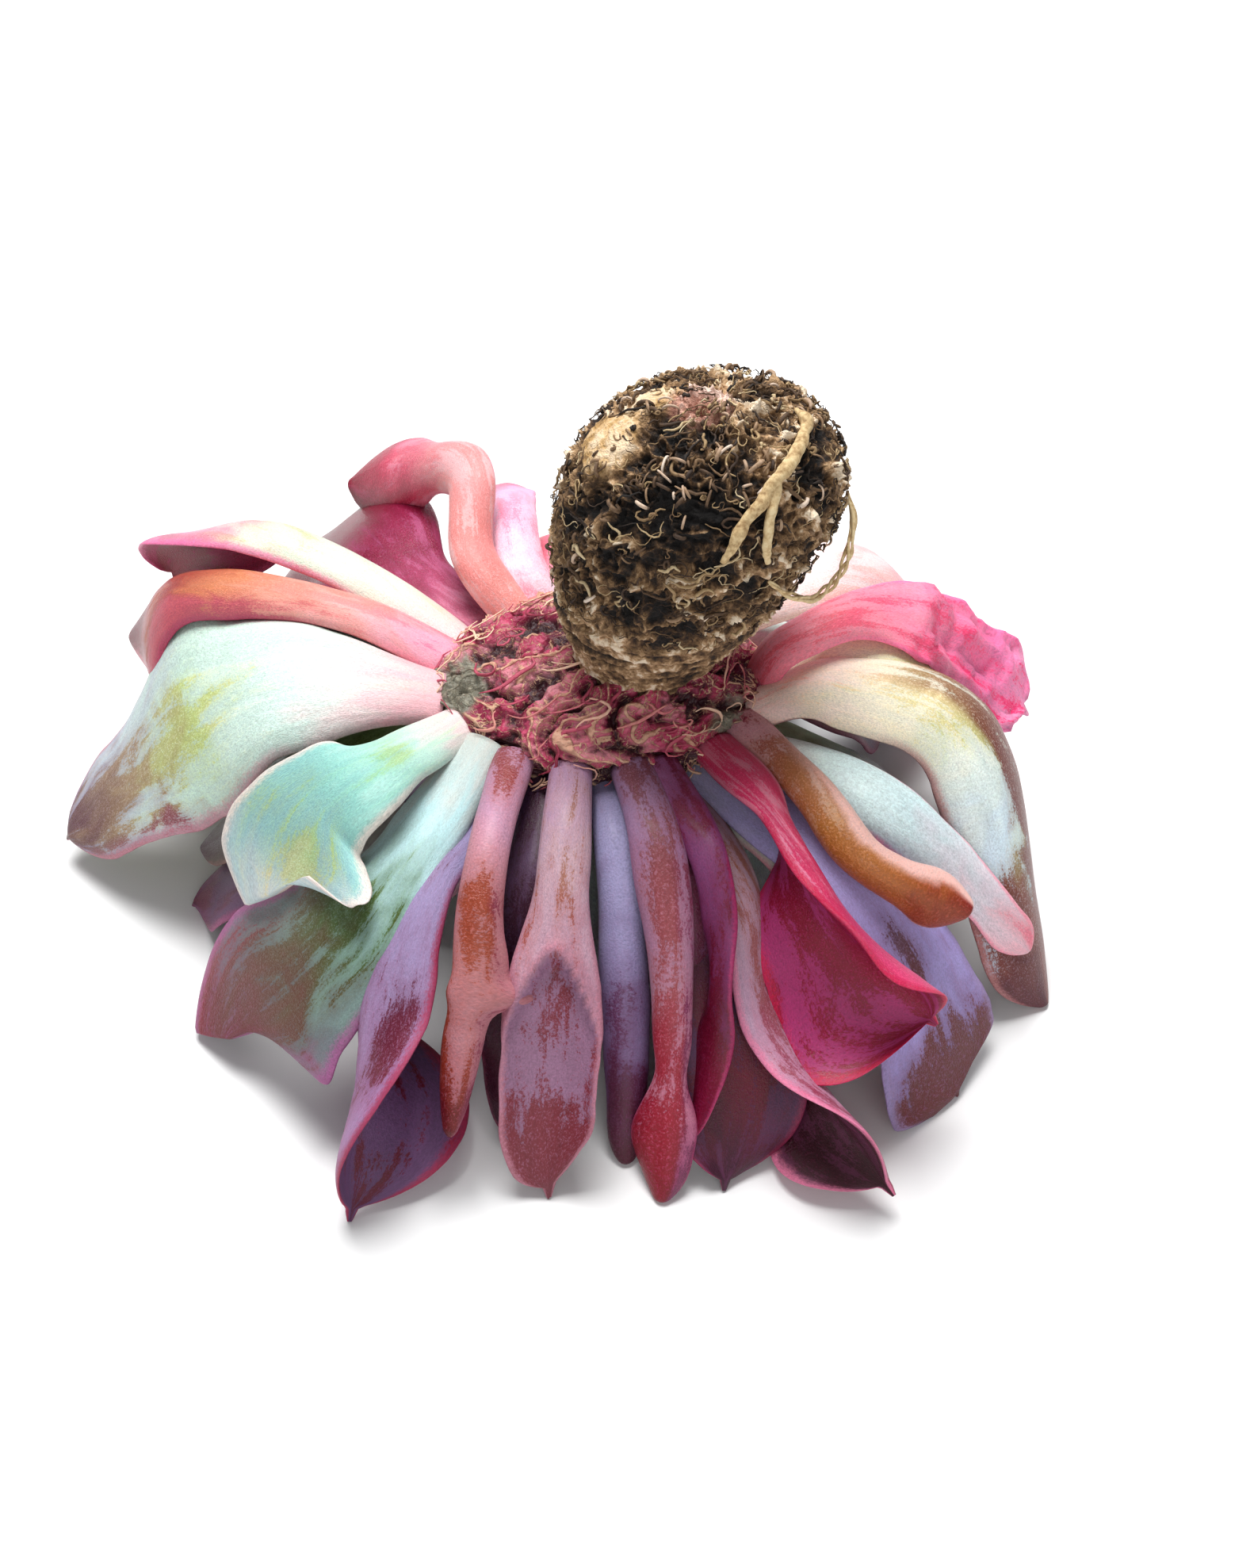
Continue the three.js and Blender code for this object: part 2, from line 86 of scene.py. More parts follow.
# The leaves that show, two lines each. The first line holds the name, the ring, the azimuth of the base,
# then (azimuth, reach, height) of the shoulder, the bend and the tip. The second holds the widths at the
# WIDTH_KEYS with the share of the length that closes the tip, how far the margins curl and how far the
# blade rolls about its spine, each (base, middle, tip) in degrees, the thickness, the skew, which is the
# share of the width that the blade has more on one side of its spine, and how far its end slants.
LEAVES = [
    ("dry_bract", 0, -128, (-129, 26.5, 38), (-129, 28, 35), (-128, 28.5, 31.5),
     (3, 4, 3.5, 2, 0.3), (20, 20, 20), (0, 0, 0), 1.2, 0, 0),
    ("leaf_left_broad", 0, -174, (-176, 40, 44), (-179, 57, 38), (178, 88.5, 4),
     (9, 22, 31, 22, 0.2), (25, 20, 15), (-10, -30, -25), 4, -0.1, 0),
    ("leaf_left_keeled", 0, 165, (164, 41, 46.5), (162.2, 68, 43.5), (158.5, 85, 24),
     (8, 8.5, 13, 26, 0.2), (40, 60, 45), (20, 10, -25), 4.5, 0, 0),
    ("leaf_left_fold", 1, 150, (150, 46, 46), (151, 64, 46.5), (150, 85, 29),
     (9, 10, 15, 21, 0.16), (30, 50, 75), (10, 40, 95), 3.5, 0.1, 0),
    ("leaf_left_sage", 1, 168, (166, 38, 41), (161, 59, 35), (156, 80, 8),
     (8, 16, 20, 15, 0.2), (20, 20, 20), (0, -10, -10), 3.5, 0, 0),
    ("leaf_back_crimson", 1, 136, (139, 41, 39), (134, 58, 37), (131, 83, 18),
     (9, 15, 26, 22, 0.2), (20, 20, 10), (0, -20, -20), 3.5, 0, 0),
    ("leaf_back_hooked", 0, 128, (130, 31, 47), (120, 46, 53), (127, 73, 36),
     (6.5, 6.5, 10, 18, 0.12), (40, 50, 60), (0, -40, -60), 4.5, 0, 0),
    ("leaf_back_strap", 0, 115, (117, 27, 45), (111, 41, 45.5), (105, 67, 31),
     (7, 7, 8.5, 9, 0.05), (20, 20, 20), (0, 0, 0), 3.5, 0, 0),
    ("leaf_back_red", 0, 92, (97, 29, 42), (98, 46, 33), (97, 70, 2),
     (8, 14, 22, 14, 0.2), (20, 30, 30), (0, 0, 0), 3.5, 0, 0),
    ("leaf_right_blush", 0, 40, (30, 36, 47), (29, 52, 41), (32, 75, 10),
     (8, 14, 22, 16, 0.2), (20, 30, 30), (0, 20, 20), 3.5, 0, 0),
    ("leaf_right_wilted", 0, 2, (-2, 29, 50), (9, 46, 47.5), (9.5, 70, 24),
     (7, 7, 13, 17, 0.08), (20, 20, 5), (0, 30, 45), 3.2, 0.15, 0),
    ("leaf_right_pale", 1, 8, (5, 37, 44), (10, 52, 37), (15, 71, 4),
     (8, 14, 20, 13, 0.2), (20, 30, 20), (0, -10, 0), 3.5, 0, 0),
    ("leaf_right_broad", 0, -12, (-9, 36, 45), (-11, 57, 38), (-23, 75, 0),
     (8, 15, 19, 20, 0.16), (25, 35, 40), (10, 10, 0), 4, 0, 0),
    ("leaf_right_mint", 1, -20, (-28, 42, 38), (-27, 55, 31), (-23, 71, 11),
     (7, 10, 9, 6.5, 0.1), (20, 20, -20), (0, 20, 40), 3.5, 0, 0),
    ("leaf_right_finger", 0, -21, (-37, 38, 41), (-41, 51, 36.5), (-35, 65, 30.5),
     (6, 5, 6, 8, 0.09), (30, 60, 70), (0, 30, 30), 4.5, 0, 0),
    ("leaf_right_grey", 2, -38, (-43, 40, 33), (-43, 52, 24), (-40, 58, 6),
     (8, 9, 13, 12, 0.12), (20, 20, 20), (0, 20, 10), 3.5, 0, 0),
    ("leaf_right_lavender", 1, -40, (-41, 45, 33), (-40, 60, 20), (-41, 71, 0),
     (8, 12, 20, 24, 0.05), (20, 10, 5), (0, 0, 0), 3.5, -0.05, -2),
    ("leaf_front_crimson", 0, -37, (-48, 37, 42), (-51, 53, 33.5), (-44.5, 68, 18),
     (6.5, 7.5, 19, 28, 0.16), (20, 50, 58), (0, -80, -126), 3, 0.45, 0),
    ("leaf_front_pale", 1, -60, (-58, 39, 31), (-61, 52, 17), (-58, 79, 4),
     (8, 8.5, 13, 23, 0.2), (20, 40, 55), (0, -50, -118), 3, 0.1, 0),
    ("leaf_front_dusk", 2, -62, (-65, 37, 29), (-68, 53, 15), (-74, 66, 0),
     (8, 12, 22, 20, 0.2), (20, 10, 0), (0, 0, 0), 3.5, 0, 0),
    ("leaf_front_strap", 0, -62, (-65, 37, 38), (-69, 49, 26), (-77, 60, 6),
     (5, 5, 5, 7, 0.15), (20, 20, 20), (0, 60, 60), 3, 0, 0),
    ("leaf_front_plum", 1, -68, (-68, 34, 34), (-73, 46, 20), (-76, 56, 2),
     (7, 9, 10, 8, 0.1), (20, 20, 20), (0, 0, 0), 3.5, 0, 0),
    ("leaf_front_red_tip", 0, -74, (-75, 34, 38), (-78, 51, 22), (-82, 66, 0),
     (6, 7.5, 5.5, 9.5, 0.14), (20, 40, 50), (0, 10, 20), 4, 0, 0),
    ("leaf_front_slate", 1, -86, (-84, 31, 34), (-85, 47, 18), (-86, 59, 0),
     (5, 6.5, 7, 5.5, 0.08), (20, 40, 40), (0, 0, 0), 4, 0, 0),
    ("leaf_front_hooded", 0, -102, (-98, 32, 38), (-97, 50, 25), (-96, 65, 0),
     (5.5, 7, 13.5, 13.5, 0.16), (30, 10, -40), (0, 0, 0), 4, 0, -3),
    ("leaf_front_shade", 1, -112, (-105, 36, 30), (-102, 47, 15), (-100, 58, 0),
     (8, 10, 16, 14, 0.16), (20, 20, 20), (0, 0, 0), 3.5, 0, 0),
    ("leaf_front_orange", 0, -128, (-114, 37, 40), (-110, 50, 31), (-108, 66, 12),
     (5.5, 5, 7, 7, 0.25), (40, 60, 60), (0, 0, 0), 4, 0, 0),
    ("leaf_front_fold", 1, -138, (-125, 44, 35), (-122, 60, 22), (-117, 77, 0),
     (8, 12, 28, 30, 0.25), (20, 42, 45), (0, 35, 130), 3, -0.35, 0),
    ("leaf_left_green", 0, -142, (-130, 44, 35.5), (-134, 56, 25), (-144, 68, 5),
     (7, 11, 24, 34, 0.22), (20, 20, 5), (0, -3, 0), 4, -0.05, -9),
    ("leaf_left_mint", 0, -156, (-144, 39, 44.5), (-147, 48, 40), (-147, 56, 26.5),
     (7, 9, 17, 30, 0.2), (20, 10, -15), (0, -5, -5), 4, 0.1, -7),
    ("leaf_left_olive", 1, -174, (-168, 37, 35), (-171, 49, 27), (-179, 65, 6),
     (8, 12, 16, 13, 0.2), (20, 20, 20), (0, -10, 0), 3.5, 0, 0),
    ("leaf_left_plum", 2, -168, (-165, 38, 29), (-167, 53, 17), (-173, 67, 0),
     (8, 12, 18, 16, 0.15), (20, 20, 20), (0, 0, 0), 3.5, 0, 0),
]

# Leaves that the rosette hides: name, ring, first azimuth, step, count, tip's reach and height, look.
HIDDEN_LEAVES = [
    ("leaf_back_outer", 1, 112, -26, 4, 66, 0, "hidden_outer"),
    ("leaf_back_inner", 2, 150, -30, 6, 56, 3, "hidden_inner"),
    ("leaf_side_inner", 2, -14, 0, 1, 56, 3, "hidden_inner"),
    ("leaf_heart", 3, 20, 60, 6, 34, 2, "heart"),
    ("leaf_bud", 4, 45, 90, 4, 12, 3, "heart"),
]

# What sets a leaf's shape apart, in millimetres and shares of its length and half width.
# fold: how sharply it folds along its middle, from 1, round, to 0, a crease.
# ripple: height of the waves in its margins, and how many there are.
# lobes: (side, place along the leaf, extra width, length) of a bump or a notch in a margin.
# hollow: where a hollow in its back begins, and how deep it is.
# crumple: where it begins to wrinkle, and how much.
# spike: how long the point at its tip is.
SHAPES = {
    "dry_bract": {"ripple": (0.3, 2)},
    "leaf_left_broad": {
        "ripple": (0.8, 2.5), "spike": 1,
        "lobes": [(-1, 0.53, 0.4, 0.1), (-1, 0.43, -0.05, 0.03), (1, 0.42, 0.25, 0.16)],
    },
    "leaf_left_keeled": {"fold": 0.6, "lobes": [(1, 0.82, 0.3, 0.08)], "ripple": (0.6, 2)},
    "leaf_left_fold": {"fold": 0.6, "ripple": (0.8, 2)},
    "leaf_left_sage": {"spike": 1},
    "leaf_back_crimson": {"ripple": (1.2, 2.5), "spike": 1},
    "leaf_back_hooked": {"fold": 0.6, "ripple": (0.8, 2), "lobes": [(1, 0.84, 0.25, 0.06)]},
    "leaf_back_strap": {"fold": 0.6, "ripple": (0.6, 2)},
    "leaf_back_red": {"ripple": (1, 2)},
    "leaf_right_blush": {"ripple": (0.8, 2), "fold": 0.7},
    "leaf_right_wilted": {
        "crumple": (0.42, 3.0), "ripple": (1.5, 2), "spike": 3,
        "lobes": [(1, 0.75, -0.25, 0.15), (-1, 0.75, -0.25, 0.15)],
    },
    "leaf_right_pale": {"ripple": (0.6, 2)},
    "leaf_right_broad": {"fold": 0.8, "ripple": (0.5, 2)},
    "leaf_right_mint": {"fold": 0.8, "ripple": (0.6, 2)},
    "leaf_right_finger": {"fold": 0.8, "lobes": [(1, 0.88, 0.3, 0.07), (-1, 0.88, 0.3, 0.07)]},
    "leaf_right_grey": {"ripple": (0.5, 2)},
    "leaf_right_lavender": {"ripple": (0.7, 1.5), "spike": 1},
    "leaf_front_crimson": {"fold": 0.4, "ripple": (1.4, 3), "spike": 1.5},
    "leaf_front_pale": {"fold": 0.4, "ripple": (0.8, 2), "spike": 2},
    "leaf_front_dusk": {"ripple": (1.5, 2.5), "spike": 1.5},
    "leaf_front_strap": {"ripple": (1.2, 3)},
    "leaf_front_plum": {"fold": 0.6},
    "leaf_front_red_tip": {
        "fold": 0.6,
        "lobes": [
            (-1, 0.7, -0.5, 0.07), (1, 0.72, -0.4, 0.07), (-1, 0.88, 0.5, 0.07), (1, 0.9, -0.15, 0.07),
        ],
    },
    "leaf_front_slate": {"fold": 0.6},
    "leaf_front_hooded": {"hollow": (0.44, 3.0), "ripple": (0.6, 1.5), "spike": 2},
    "leaf_front_shade": {"ripple": (1.2, 2.5), "spike": 1},
    "leaf_front_orange": {
        "fold": 0.6, "lobes": [(1, 0.66, 1.9, 0.03), (1, 0.6, 0.5, 0.08), (-1, 0.64, -0.3, 0.1)],
    },
    "leaf_front_fold": {"fold": 0.4, "ripple": (1.2, 2.5), "spike": 2},
    "leaf_left_green": {"ripple": (1.0, 2), "lobes": [(1, 1.0, -0.35, 0.08)]},
    "leaf_left_mint": {"ripple": (1.4, 1.5), "lobes": [(1, 0.74, 0.2, 0.1), (1, 0.9, 0.25, 0.05)]},
    "leaf_left_plum": {"ripple": (1.5, 2.5), "spike": 1},
}

# Each look: the flesh and the powdery bloom over it at even steps from base to tip, how much the bloom
# covers there, then the margin, and the flesh and the bloom of the inner side.
LOOKS = {
    "dry_bract": (
        "#d86a78 #c8405e #b02a48", "#f0a0a8 #e88090 #d05a70",
        [0.5, 0.5, 0.5], "#f0b0a8 #a02840 #c04a60"),
    "leaf_left_broad": (
        "#f7a9b4 #f3e6c8 #c4d088 #a88c68 #6c2c34", "#f7ccd2 #dceee6 #d2e8dc #ccd4dc #a794b4",
        [0.7, 0.95, 0.62, 0.5, 0.4], "#cf8f9f #7c8a52 #9aa878"),
    "leaf_left_keeled": (
        "#f28ca8 #f0a09c #dc9470 #a83c44 #7c1030", "#fcc0d0 #f8beb4 #eaa688 #bc6850 #9c3c5c",
        [0.55, 0.5, 0.35, 0.3, 0.3], "#c04c74 #7c1430 #9c3858"),
    "leaf_left_fold": (
        "#f5c0c4 #ece4cc #d4d8b0 #dc8ca4 #a82c58", "#f6dcde #eef0e4 #e4ecdc #f0b0c8 #d86c98",
        [0.7, 0.7, 0.55, 0.5, 0.4], "#ee84b4 #a0183c #c44c78"),
    "leaf_left_sage": (
        "#e7e0cf #d3dec8 #b8ccb8 #a6b8a0 #9a9a84", "#efeae0 #dfeee4 #cfe2dc #bccfc8 #b0b4ac",
        [0.7, 0.8, 0.8, 0.7, 0.6], "#c8a8a8 #8a9478 #a4ac94"),
    "leaf_back_crimson": (
        "#e898b0 #b04870 #8c1c44 #7c0828 #7c0c2c", "#f0b8cc #d07ca0 #a84878 #8c2450 #a03c68",
        [0.6, 0.45, 0.3, 0.15, 0.15], "#b84070 #8a1c3c #b05078"),
    "leaf_back_hooked": (
        "#f8b0a8 #ee9c98 #eca4a4 #d84c70 #98183c", "#fcd4d8 #fad4d4 #f8ccd0 #f0a0b4 #c05478",
        [0.4, 0.4, 0.45, 0.4, 0.25], "#f0a0b4 #9c2c48 #b84c68"),
    "leaf_back_strap": (
        "#ffd0da #fca8bc #f7a6c4 #f08ab6 #e4487c", "#fff0f4 #fbdcec #f4d0ea #f0c6e8 #ee84b0",
        [0.6, 0.55, 0.55, 0.55, 0.4], "#f8a0c0 #d06088 #e494b4"),
    "leaf_back_red": (
        "#f5a6b4 #e8667f #d04464 #b42e52 #9c2044", "#fbc8d2 #f090a6 #e07a98 #cc6088 #b85880",
        [0.5, 0.45, 0.4, 0.4, 0.4], "#e07a98 #8c1c3c #a84468"),
    "leaf_right_blush": (
        "#fdeadc #fbd8d0 #f8c0c0 #f294a6 #d85878", "#fff6f2 #fff0ee #ffe6e8 #fcbccc #f092b0",
        [0.6, 0.6, 0.55, 0.5, 0.4], "#f08ca4 #c85878 #dc88a0"),
    "leaf_right_wilted": (
        "#cc5468 #e87484 #f47494 #ff5c90 #ff4c8c", "#e88c9c #fbaab8 #fda8c0 #ff9cc8 #ffc0e0",
        [0.45, 0.5, 0.5, 0.55, 0.65], "#ff8cbc #f04c80 #fc8cb8"),
    "leaf_right_pale": (
        "#f3e6c6 #ede8b8 #d8e0a0 #c4d090 #b0b888", "#fbf6e4 #f6f4dc #ecf0cc #dfe6c4 #ccd0b8",
        [0.7, 0.7, 0.55, 0.5, 0.5], "#e0d0b8 #7c8a4c #98a470"),
    "leaf_right_broad": (
        "#e8aaa4 #f1dcb4 #c0c880 #905040 #640c28", "#fbe2da #f6f0dc #e8f2ec #dcecf8 #9c7090",
        [0.6, 0.65, 0.5, 0.35, 0.1], "#c89090 #5a0f1c #7c2c3c"),
    "leaf_right_mint": (
        "#d0c4b4 #d0e0d0 #c4dcd4 #d8c4c4 #ee94a4", "#ece2dc #e2f2f0 #d8eaec #e6dce4 #fbc8d2",
        [0.7, 0.85, 0.9, 0.8, 0.6], "#f29cae #7c7c84 #9c98a4"),
    "leaf_right_finger": (
        "#a05868 #b87860 #bc8448 #b87840 #8c0c20", "#e0b0b8 #e0bcb4 #e0b898 #cc8868 #c05058",
        [0.6, 0.5, 0.5, 0.45, 0.25], "#f8d0cc #a84c40 #c07868"),
    "leaf_right_grey": (
        "#9ca092 #a8aca0 #b4a8a0 #bc9c9c #b86c7c", "#bcc0b8 #c4c8c0 #ccc0bc #d0b4b8 #d898a4",
        [0.75, 0.75, 0.7, 0.6, 0.5], "#e498a8 #5c5048 #746860"),
    "leaf_right_lavender": (
        "#8a7c86 #86687c #785468 #742c38 #74040f", "#bcb8d0 #bab2dc #b8aede #b2a4d6 #9a82b0",
        [0.9, 0.95, 0.85, 0.8, -0.2], "#a898c0 #5c4458 #74607c"),
    "leaf_front_crimson": (
        "#cc3c6c #e04478 #d83870 #e05084 #e06890", "#e898ac #f4a8bc #f4a8c4 #f8b0cc #fcb8d4",
        [0.4, 0.45, 0.5, 0.55, 0.5], "#d0285c #980c40 #b84480"),
    "leaf_front_pale": (
        "#8c5658 #a06c5c #a87072 #a85870 #b04c68", "#b498a8 #c2a6b4 #caaac0 #d8a6c0 #dc98b8",
        [0.55, 0.5, 0.6, 0.5, 0.4], "#e890b0 #4c0c24 #703454"),
    # leaf_front_dusk: dark plum, darkened partly as painted shade where it hangs under the rosette
    "leaf_front_dusk": (
        "#5a2a44 #5c2a44 #5a1c3a #7a1834 #521838", "#80608a #74567e #6c4872 #6c4066 #7a4468",
        [0.6, 0.6, 0.5, 0.45, 0.5], "#a84468 #4c1c34 #6a4060"),
    "leaf_front_strap": (
        "#7c2c50 #84284c #7c1c40 #741434 #8c1c44", "#a8709a #985888 #8c4474 #843860 #984878",
        [0.5, 0.5, 0.45, 0.4, 0.35], "#b84878 #5c1434 #7c3458"),
    "leaf_front_plum": (
        "#6a3450 #7a3c58 #742648 #681a38 #7a1c3c", "#a078a0 #94688c #885478 #7c3c60 #8a3c60",
        [0.6, 0.5, 0.4, 0.35, 0.3], "#a04870 #4c1830 #6a3450"),
    "leaf_front_red_tip": (
        "#7c4c5c #94585e #a45a60 #a81c3c #900028", "#ac90b0 #b48cac #c498ac #dc98b0 #b8548c",
        [0.6, 0.55, 0.5, 0.4, 0.15], "#c86890 #8c1438 #a84c74"),
    "leaf_front_slate": (
        "#6a3c50 #866c84 #7c5c80 #70385c #601434", "#a29cbc #b0aacc #a498bc #8c6c94 #7a4068",
        [0.8, 0.85, 0.8, 0.55, 0.2], "#a08098 #4c2438 #64405c"),
    "leaf_front_hooded": (
        "#7c4448 #a87c6c #a85850 #7c202c #701020", "#b494b0 #d0b4c0 #c49aac #b07c94 #8c4060",
        [0.7, 0.65, 0.6, 0.45, 0.2], "#c890a0 #8c3c48 #a8829c"),
    # leaf_front_shade: its own plum darkened as painted shade, for a leaf that lies in the rosette's shade
    "leaf_front_shade": (
        "#4c2238 #522440 #4c1c36 #5a1a34 #421630", "#745678 #6c4c6c #644062 #603858 #663c5c",
        [0.5, 0.5, 0.45, 0.4, 0.4], "#8c3c5c #38142a #503050"),
    "leaf_front_orange": (
        "#8e545c #9c4c44 #a85840 #a44c34 #700010", "#bc9cb8 #c898a8 #cc9498 #cc949c #b87088",
        [0.75, 0.65, 0.5, 0.5, 0.25], "#d090a8 #5c2440 #7c5478"),
    # leaf_front_fold: the dark back of the fold is partly painted shade over its own mauve
    "leaf_front_fold": (
        "#4c3848 #6a4656 #743450 #7c2440 #841840", "#988eac #a89cc0 #b29cc0 #b48cb4 #c07ca8",
        [0.85, 0.85, 0.7, 0.65, 0.65], "#b02850 #741636 #7c5880"),
    "leaf_left_green": (
        "#a8a89c #98b08c #586e34 #704426 #800c28", "#cdd0ca #c0dee0 #98b4aa #848c90 #b878a4",
        [0.85, 0.95, 0.55, 0.38, 0.3], "#b868a0 #5c4450 #745c6c"),
    "leaf_left_mint": (
        "#ecc8c0 #c8dcac #9ccaa0 #b4cc94 #d9d0a8", "#f5dede #caeade #a4d6ce #a6cfd2 #d8e0e2",
        [0.8, 0.72, 0.8, 0.62, 0.75], "#f5e2da #a8a48c #c8b8b0"),
    "leaf_left_olive": (
        "#a8a88a #667442 #546238 #645444 #644050", "#c0c0a8 #8a9870 #788664 #807868 #806474",
        [0.6, 0.5, 0.5, 0.5, 0.5], "#9c7c74 #444828 #5c5c40"),
    "leaf_left_plum": (
        "#5a3c4c #5c4252 #5a3c4e #6a3450 #8a3458", "#8c8090 #847888 #7c6c80 #806480 #a06488",
        [0.6, 0.6, 0.6, 0.5, 0.5], "#b0648c #3c2430 #584050"),
    "hidden_outer": (
        "#e8c4c4 #c8d4bc #a8ac94 #a8787c #a03c58", "#f4e0e0 #dce8e0 #c4ccd4 #bca8c4 #bc7ca0",
        [0.7, 0.75, 0.6, 0.5, 0.45], "#d088a0 #8c7c84 #aca0b0"),
    # hidden_inner: its own green and plum, darkened as painted shade, since these leaves show only in the
    # gaps between leaves
    "hidden_inner": (
        "#a8a490 #7c8c64 #5c6c4c #6a5054 #842c44", "#bcbcb0 #98a890 #788480 #80708a #8c5470",
        [0.7, 0.65, 0.6, 0.5, 0.4], "#a8647c #545848 #6c7068"),
    "heart": (
        "#dfe0cc #c4d4b8 #b4c8ac #b8b4a0 #c8687c", "#ecf0e8 #d8e8e0 #ccdcd8 #ccc8d0 #dc98ac",
        [0.7, 0.8, 0.8, 0.75, 0.5], "#e0a0b0 #b4c4b0 #ccd8d4"),
}

# A leaf whose flesh changes towards one side: the side, how far out it starts, the flesh there and how
# much more of the bloom is rubbed off.
FLANKS = {
    "leaf_left_broad": (1, 0.6, "#9c5c64", 0.12),
    "leaf_left_keeled": (1, 0.3, "#d06c7c", 0.05),
    "leaf_right_broad": (1, -0.1, "#884438", 0.2),
    "leaf_left_green": (-1, 0.5, "#8c1430", 0.12),
    "leaf_front_red_tip": (1, 0.3, "#8c4468", -0.1),
    "leaf_front_orange": (1, 0.2, "#94485c", -0.08),
    "leaf_front_hooded": (1, 0.3, "#9c5050", 0.0),
    "leaf_right_finger": (1, 0.1, "#ecc4bc", 0.4),
}

# Where the bloom is thicker, or rubbed off where the last number is below 0: the place across the leaf,
# from -1 to 1, and along it, half the breadth and length of the patch, and how much bloom it adds.
PATCHES = {
    "leaf_left_broad": [
        (-0.8, 0.6, 0.35, 0.3, 0.3), (0.1, 0.52, 0.3, 0.12, -0.2), (0.2, 0.85, 0.6, 0.14, -0.2),
    ],
    "leaf_right_broad": [(-0.35, 0.56, 0.4, 0.12, 1.1), (0.1, 0.42, 0.4, 0.07, -0.3)],
    "leaf_left_green": [
        (0.9, 0.75, 0.25, 0.3, 0.5), (-0.9, 0.7, 0.2, 0.15, 0.4), (-0.1, 0.5, 0.4, 0.1, -0.2),
    ],
    "leaf_left_mint": [(0.2, 0.85, 0.3, 0.1, -0.5), (0.1, 0.35, 0.4, 0.06, -0.4)],
    "leaf_front_fold": [(0.55, 0.62, 0.22, 0.1, -0.5), (-0.4, 0.95, 0.4, 0.06, -0.3)],
    "leaf_front_hooded": [(0.0, 0.7, 0.5, 0.12, 0.3), (0.0, 0.95, 0.8, 0.1, -0.4)],
    "leaf_front_orange": [(-0.3, 0.3, 0.4, 0.06, 0.5), (0.0, 0.5, 0.5, 0.1, -0.2)],
    "leaf_front_crimson": [(0.3, 0.7, 0.5, 0.15, -0.1), (-0.8, 0.7, 0.4, 0.25, -0.4)],
    "leaf_right_lavender": [(-0.1, 0.6, 0.25, 0.12, -0.4)],
    "leaf_right_mint": [(0.0, 0.5, 0.6, 0.2, 0.2)],
    "leaf_right_finger": [(0.0, 0.98, 0.9, 0.08, -0.6), (-0.2, 0.7, 0.4, 0.15, -0.15)],
    "leaf_left_keeled": [(0.3, 0.97, 0.8, 0.1, -0.3)],
}

# ---------- Repeatable noise ----------


def cell_value(cells, seed):
    """A repeatable number from 0 to 1 for each whole-number cell."""
    mixed = (cells @ np.array([374761393, 668265263, 1274126177]) + seed * 961748927) & 0xFFFFFFFF
    mixed = ((mixed ^ (mixed >> 13)) * 1274126177) & 0xFFFFFFFF
    return ((mixed ^ (mixed >> 16)) & 0xFFFF) / 0xFFFF


def noise(places, seed=0):
    """Smooth noise from -1 to 1 at places, with bumps about 1 apart."""
    low = np.floor(places).astype(np.int64)
    part = smooth(places - low)
    total = np.zeros(places.shape[:-1])
    for corner in np.ndindex(2, 2, 2):
        weight = np.prod(np.where(corner, part, 1 - part), axis=-1)
        total += weight * cell_value(low + corner, seed)
    return 2 * total - 1


def fractal(places, octaves, seed=0):
    """Noise with finer and weaker noise added to it."""
    return sum(noise(places * 2.03**i, seed + i) / 2**i for i in range(octaves))


# ---------- Small helpers ----------


def smooth(value):
    value = np.clip(value, 0, 1)
    return value * value * (3 - 2 * value)


def keyed(at, keys, values):
    """A value that passes smoothly through values at keys."""
    result = np.full(np.shape(at), float(values[0]))
    for i in range(len(keys) - 1):
        result += (values[i + 1] - values[i]) * smooth((at - keys[i]) / (keys[i + 1] - keys[i]))
    return result


def hump(value, middle, breadth):
    """1 at the middle, fading to 0 on both sides."""
    return np.exp(-(((value - middle) / breadth) ** 2))


def joined(*columns):
    """Places whose coordinates are the columns, each stretched to the shape of all of them."""
    return np.stack(np.broadcast_arrays(*columns), axis=-1)


def unit(vectors):
    return vectors / np.linalg.norm(vectors, axis=-1, keepdims=True)


def cylindrical(azimuth, reach, height):
    angle = math.radians(azimuth)
    return np.array([reach * math.cos(angle), reach * math.sin(angle), height])


def catmull_rom(points, steps=40):
    """A smooth run of values through points, steps for each stretch."""
    points = np.array(points, float)
    first = 2 * points[0] - points[1]
    last = 2 * points[-1] - points[-2]
    padded = np.vstack([first, points, last])
    part = np.linspace(0, 1, steps, endpoint=False)[:, None]
    stretches = []
    for before, start, end, after in zip(padded, padded[1:], padded[2:], padded[3:]):
        leave = (end - before) / 2
        arrive = (after - start) / 2
        cubic = 2 * start - 2 * end + leave + arrive
        square = 3 * end - 3 * start - 2 * leave - arrive
        stretches.append(((cubic * part + square) * part + leave) * part + start)
    return np.vstack([*stretches, points[-1:]])


def at_shares(curve, shares):
    """Rows of a curve at shares of its length, measured over its first three columns."""
    steps = np.linalg.norm(np.diff(curve[:, :3], axis=0), axis=1)
    walked = np.concatenate([[0], np.cumsum(steps)])
    return np.stack([np.interp(shares * walked[-1], walked, column) for column in curve.T], axis=-1)


def linear_level(level):
    return level / 12.92 if level < 0.04045 else ((level + 0.055) / 1.055) ** 2.4


def linear(colour):
    """A hex colour as linear red, green, blue and alpha."""
    return [linear_level(int(colour[i:i + 2], 16) / 255) for i in (1, 3, 5)] + [1]


# ---------- Meshes ----------


def add_object(name, data):
    thing = bpy.data.objects.new(name, data)
    bpy.context.scene.collection.objects.link(thing)
    return thing


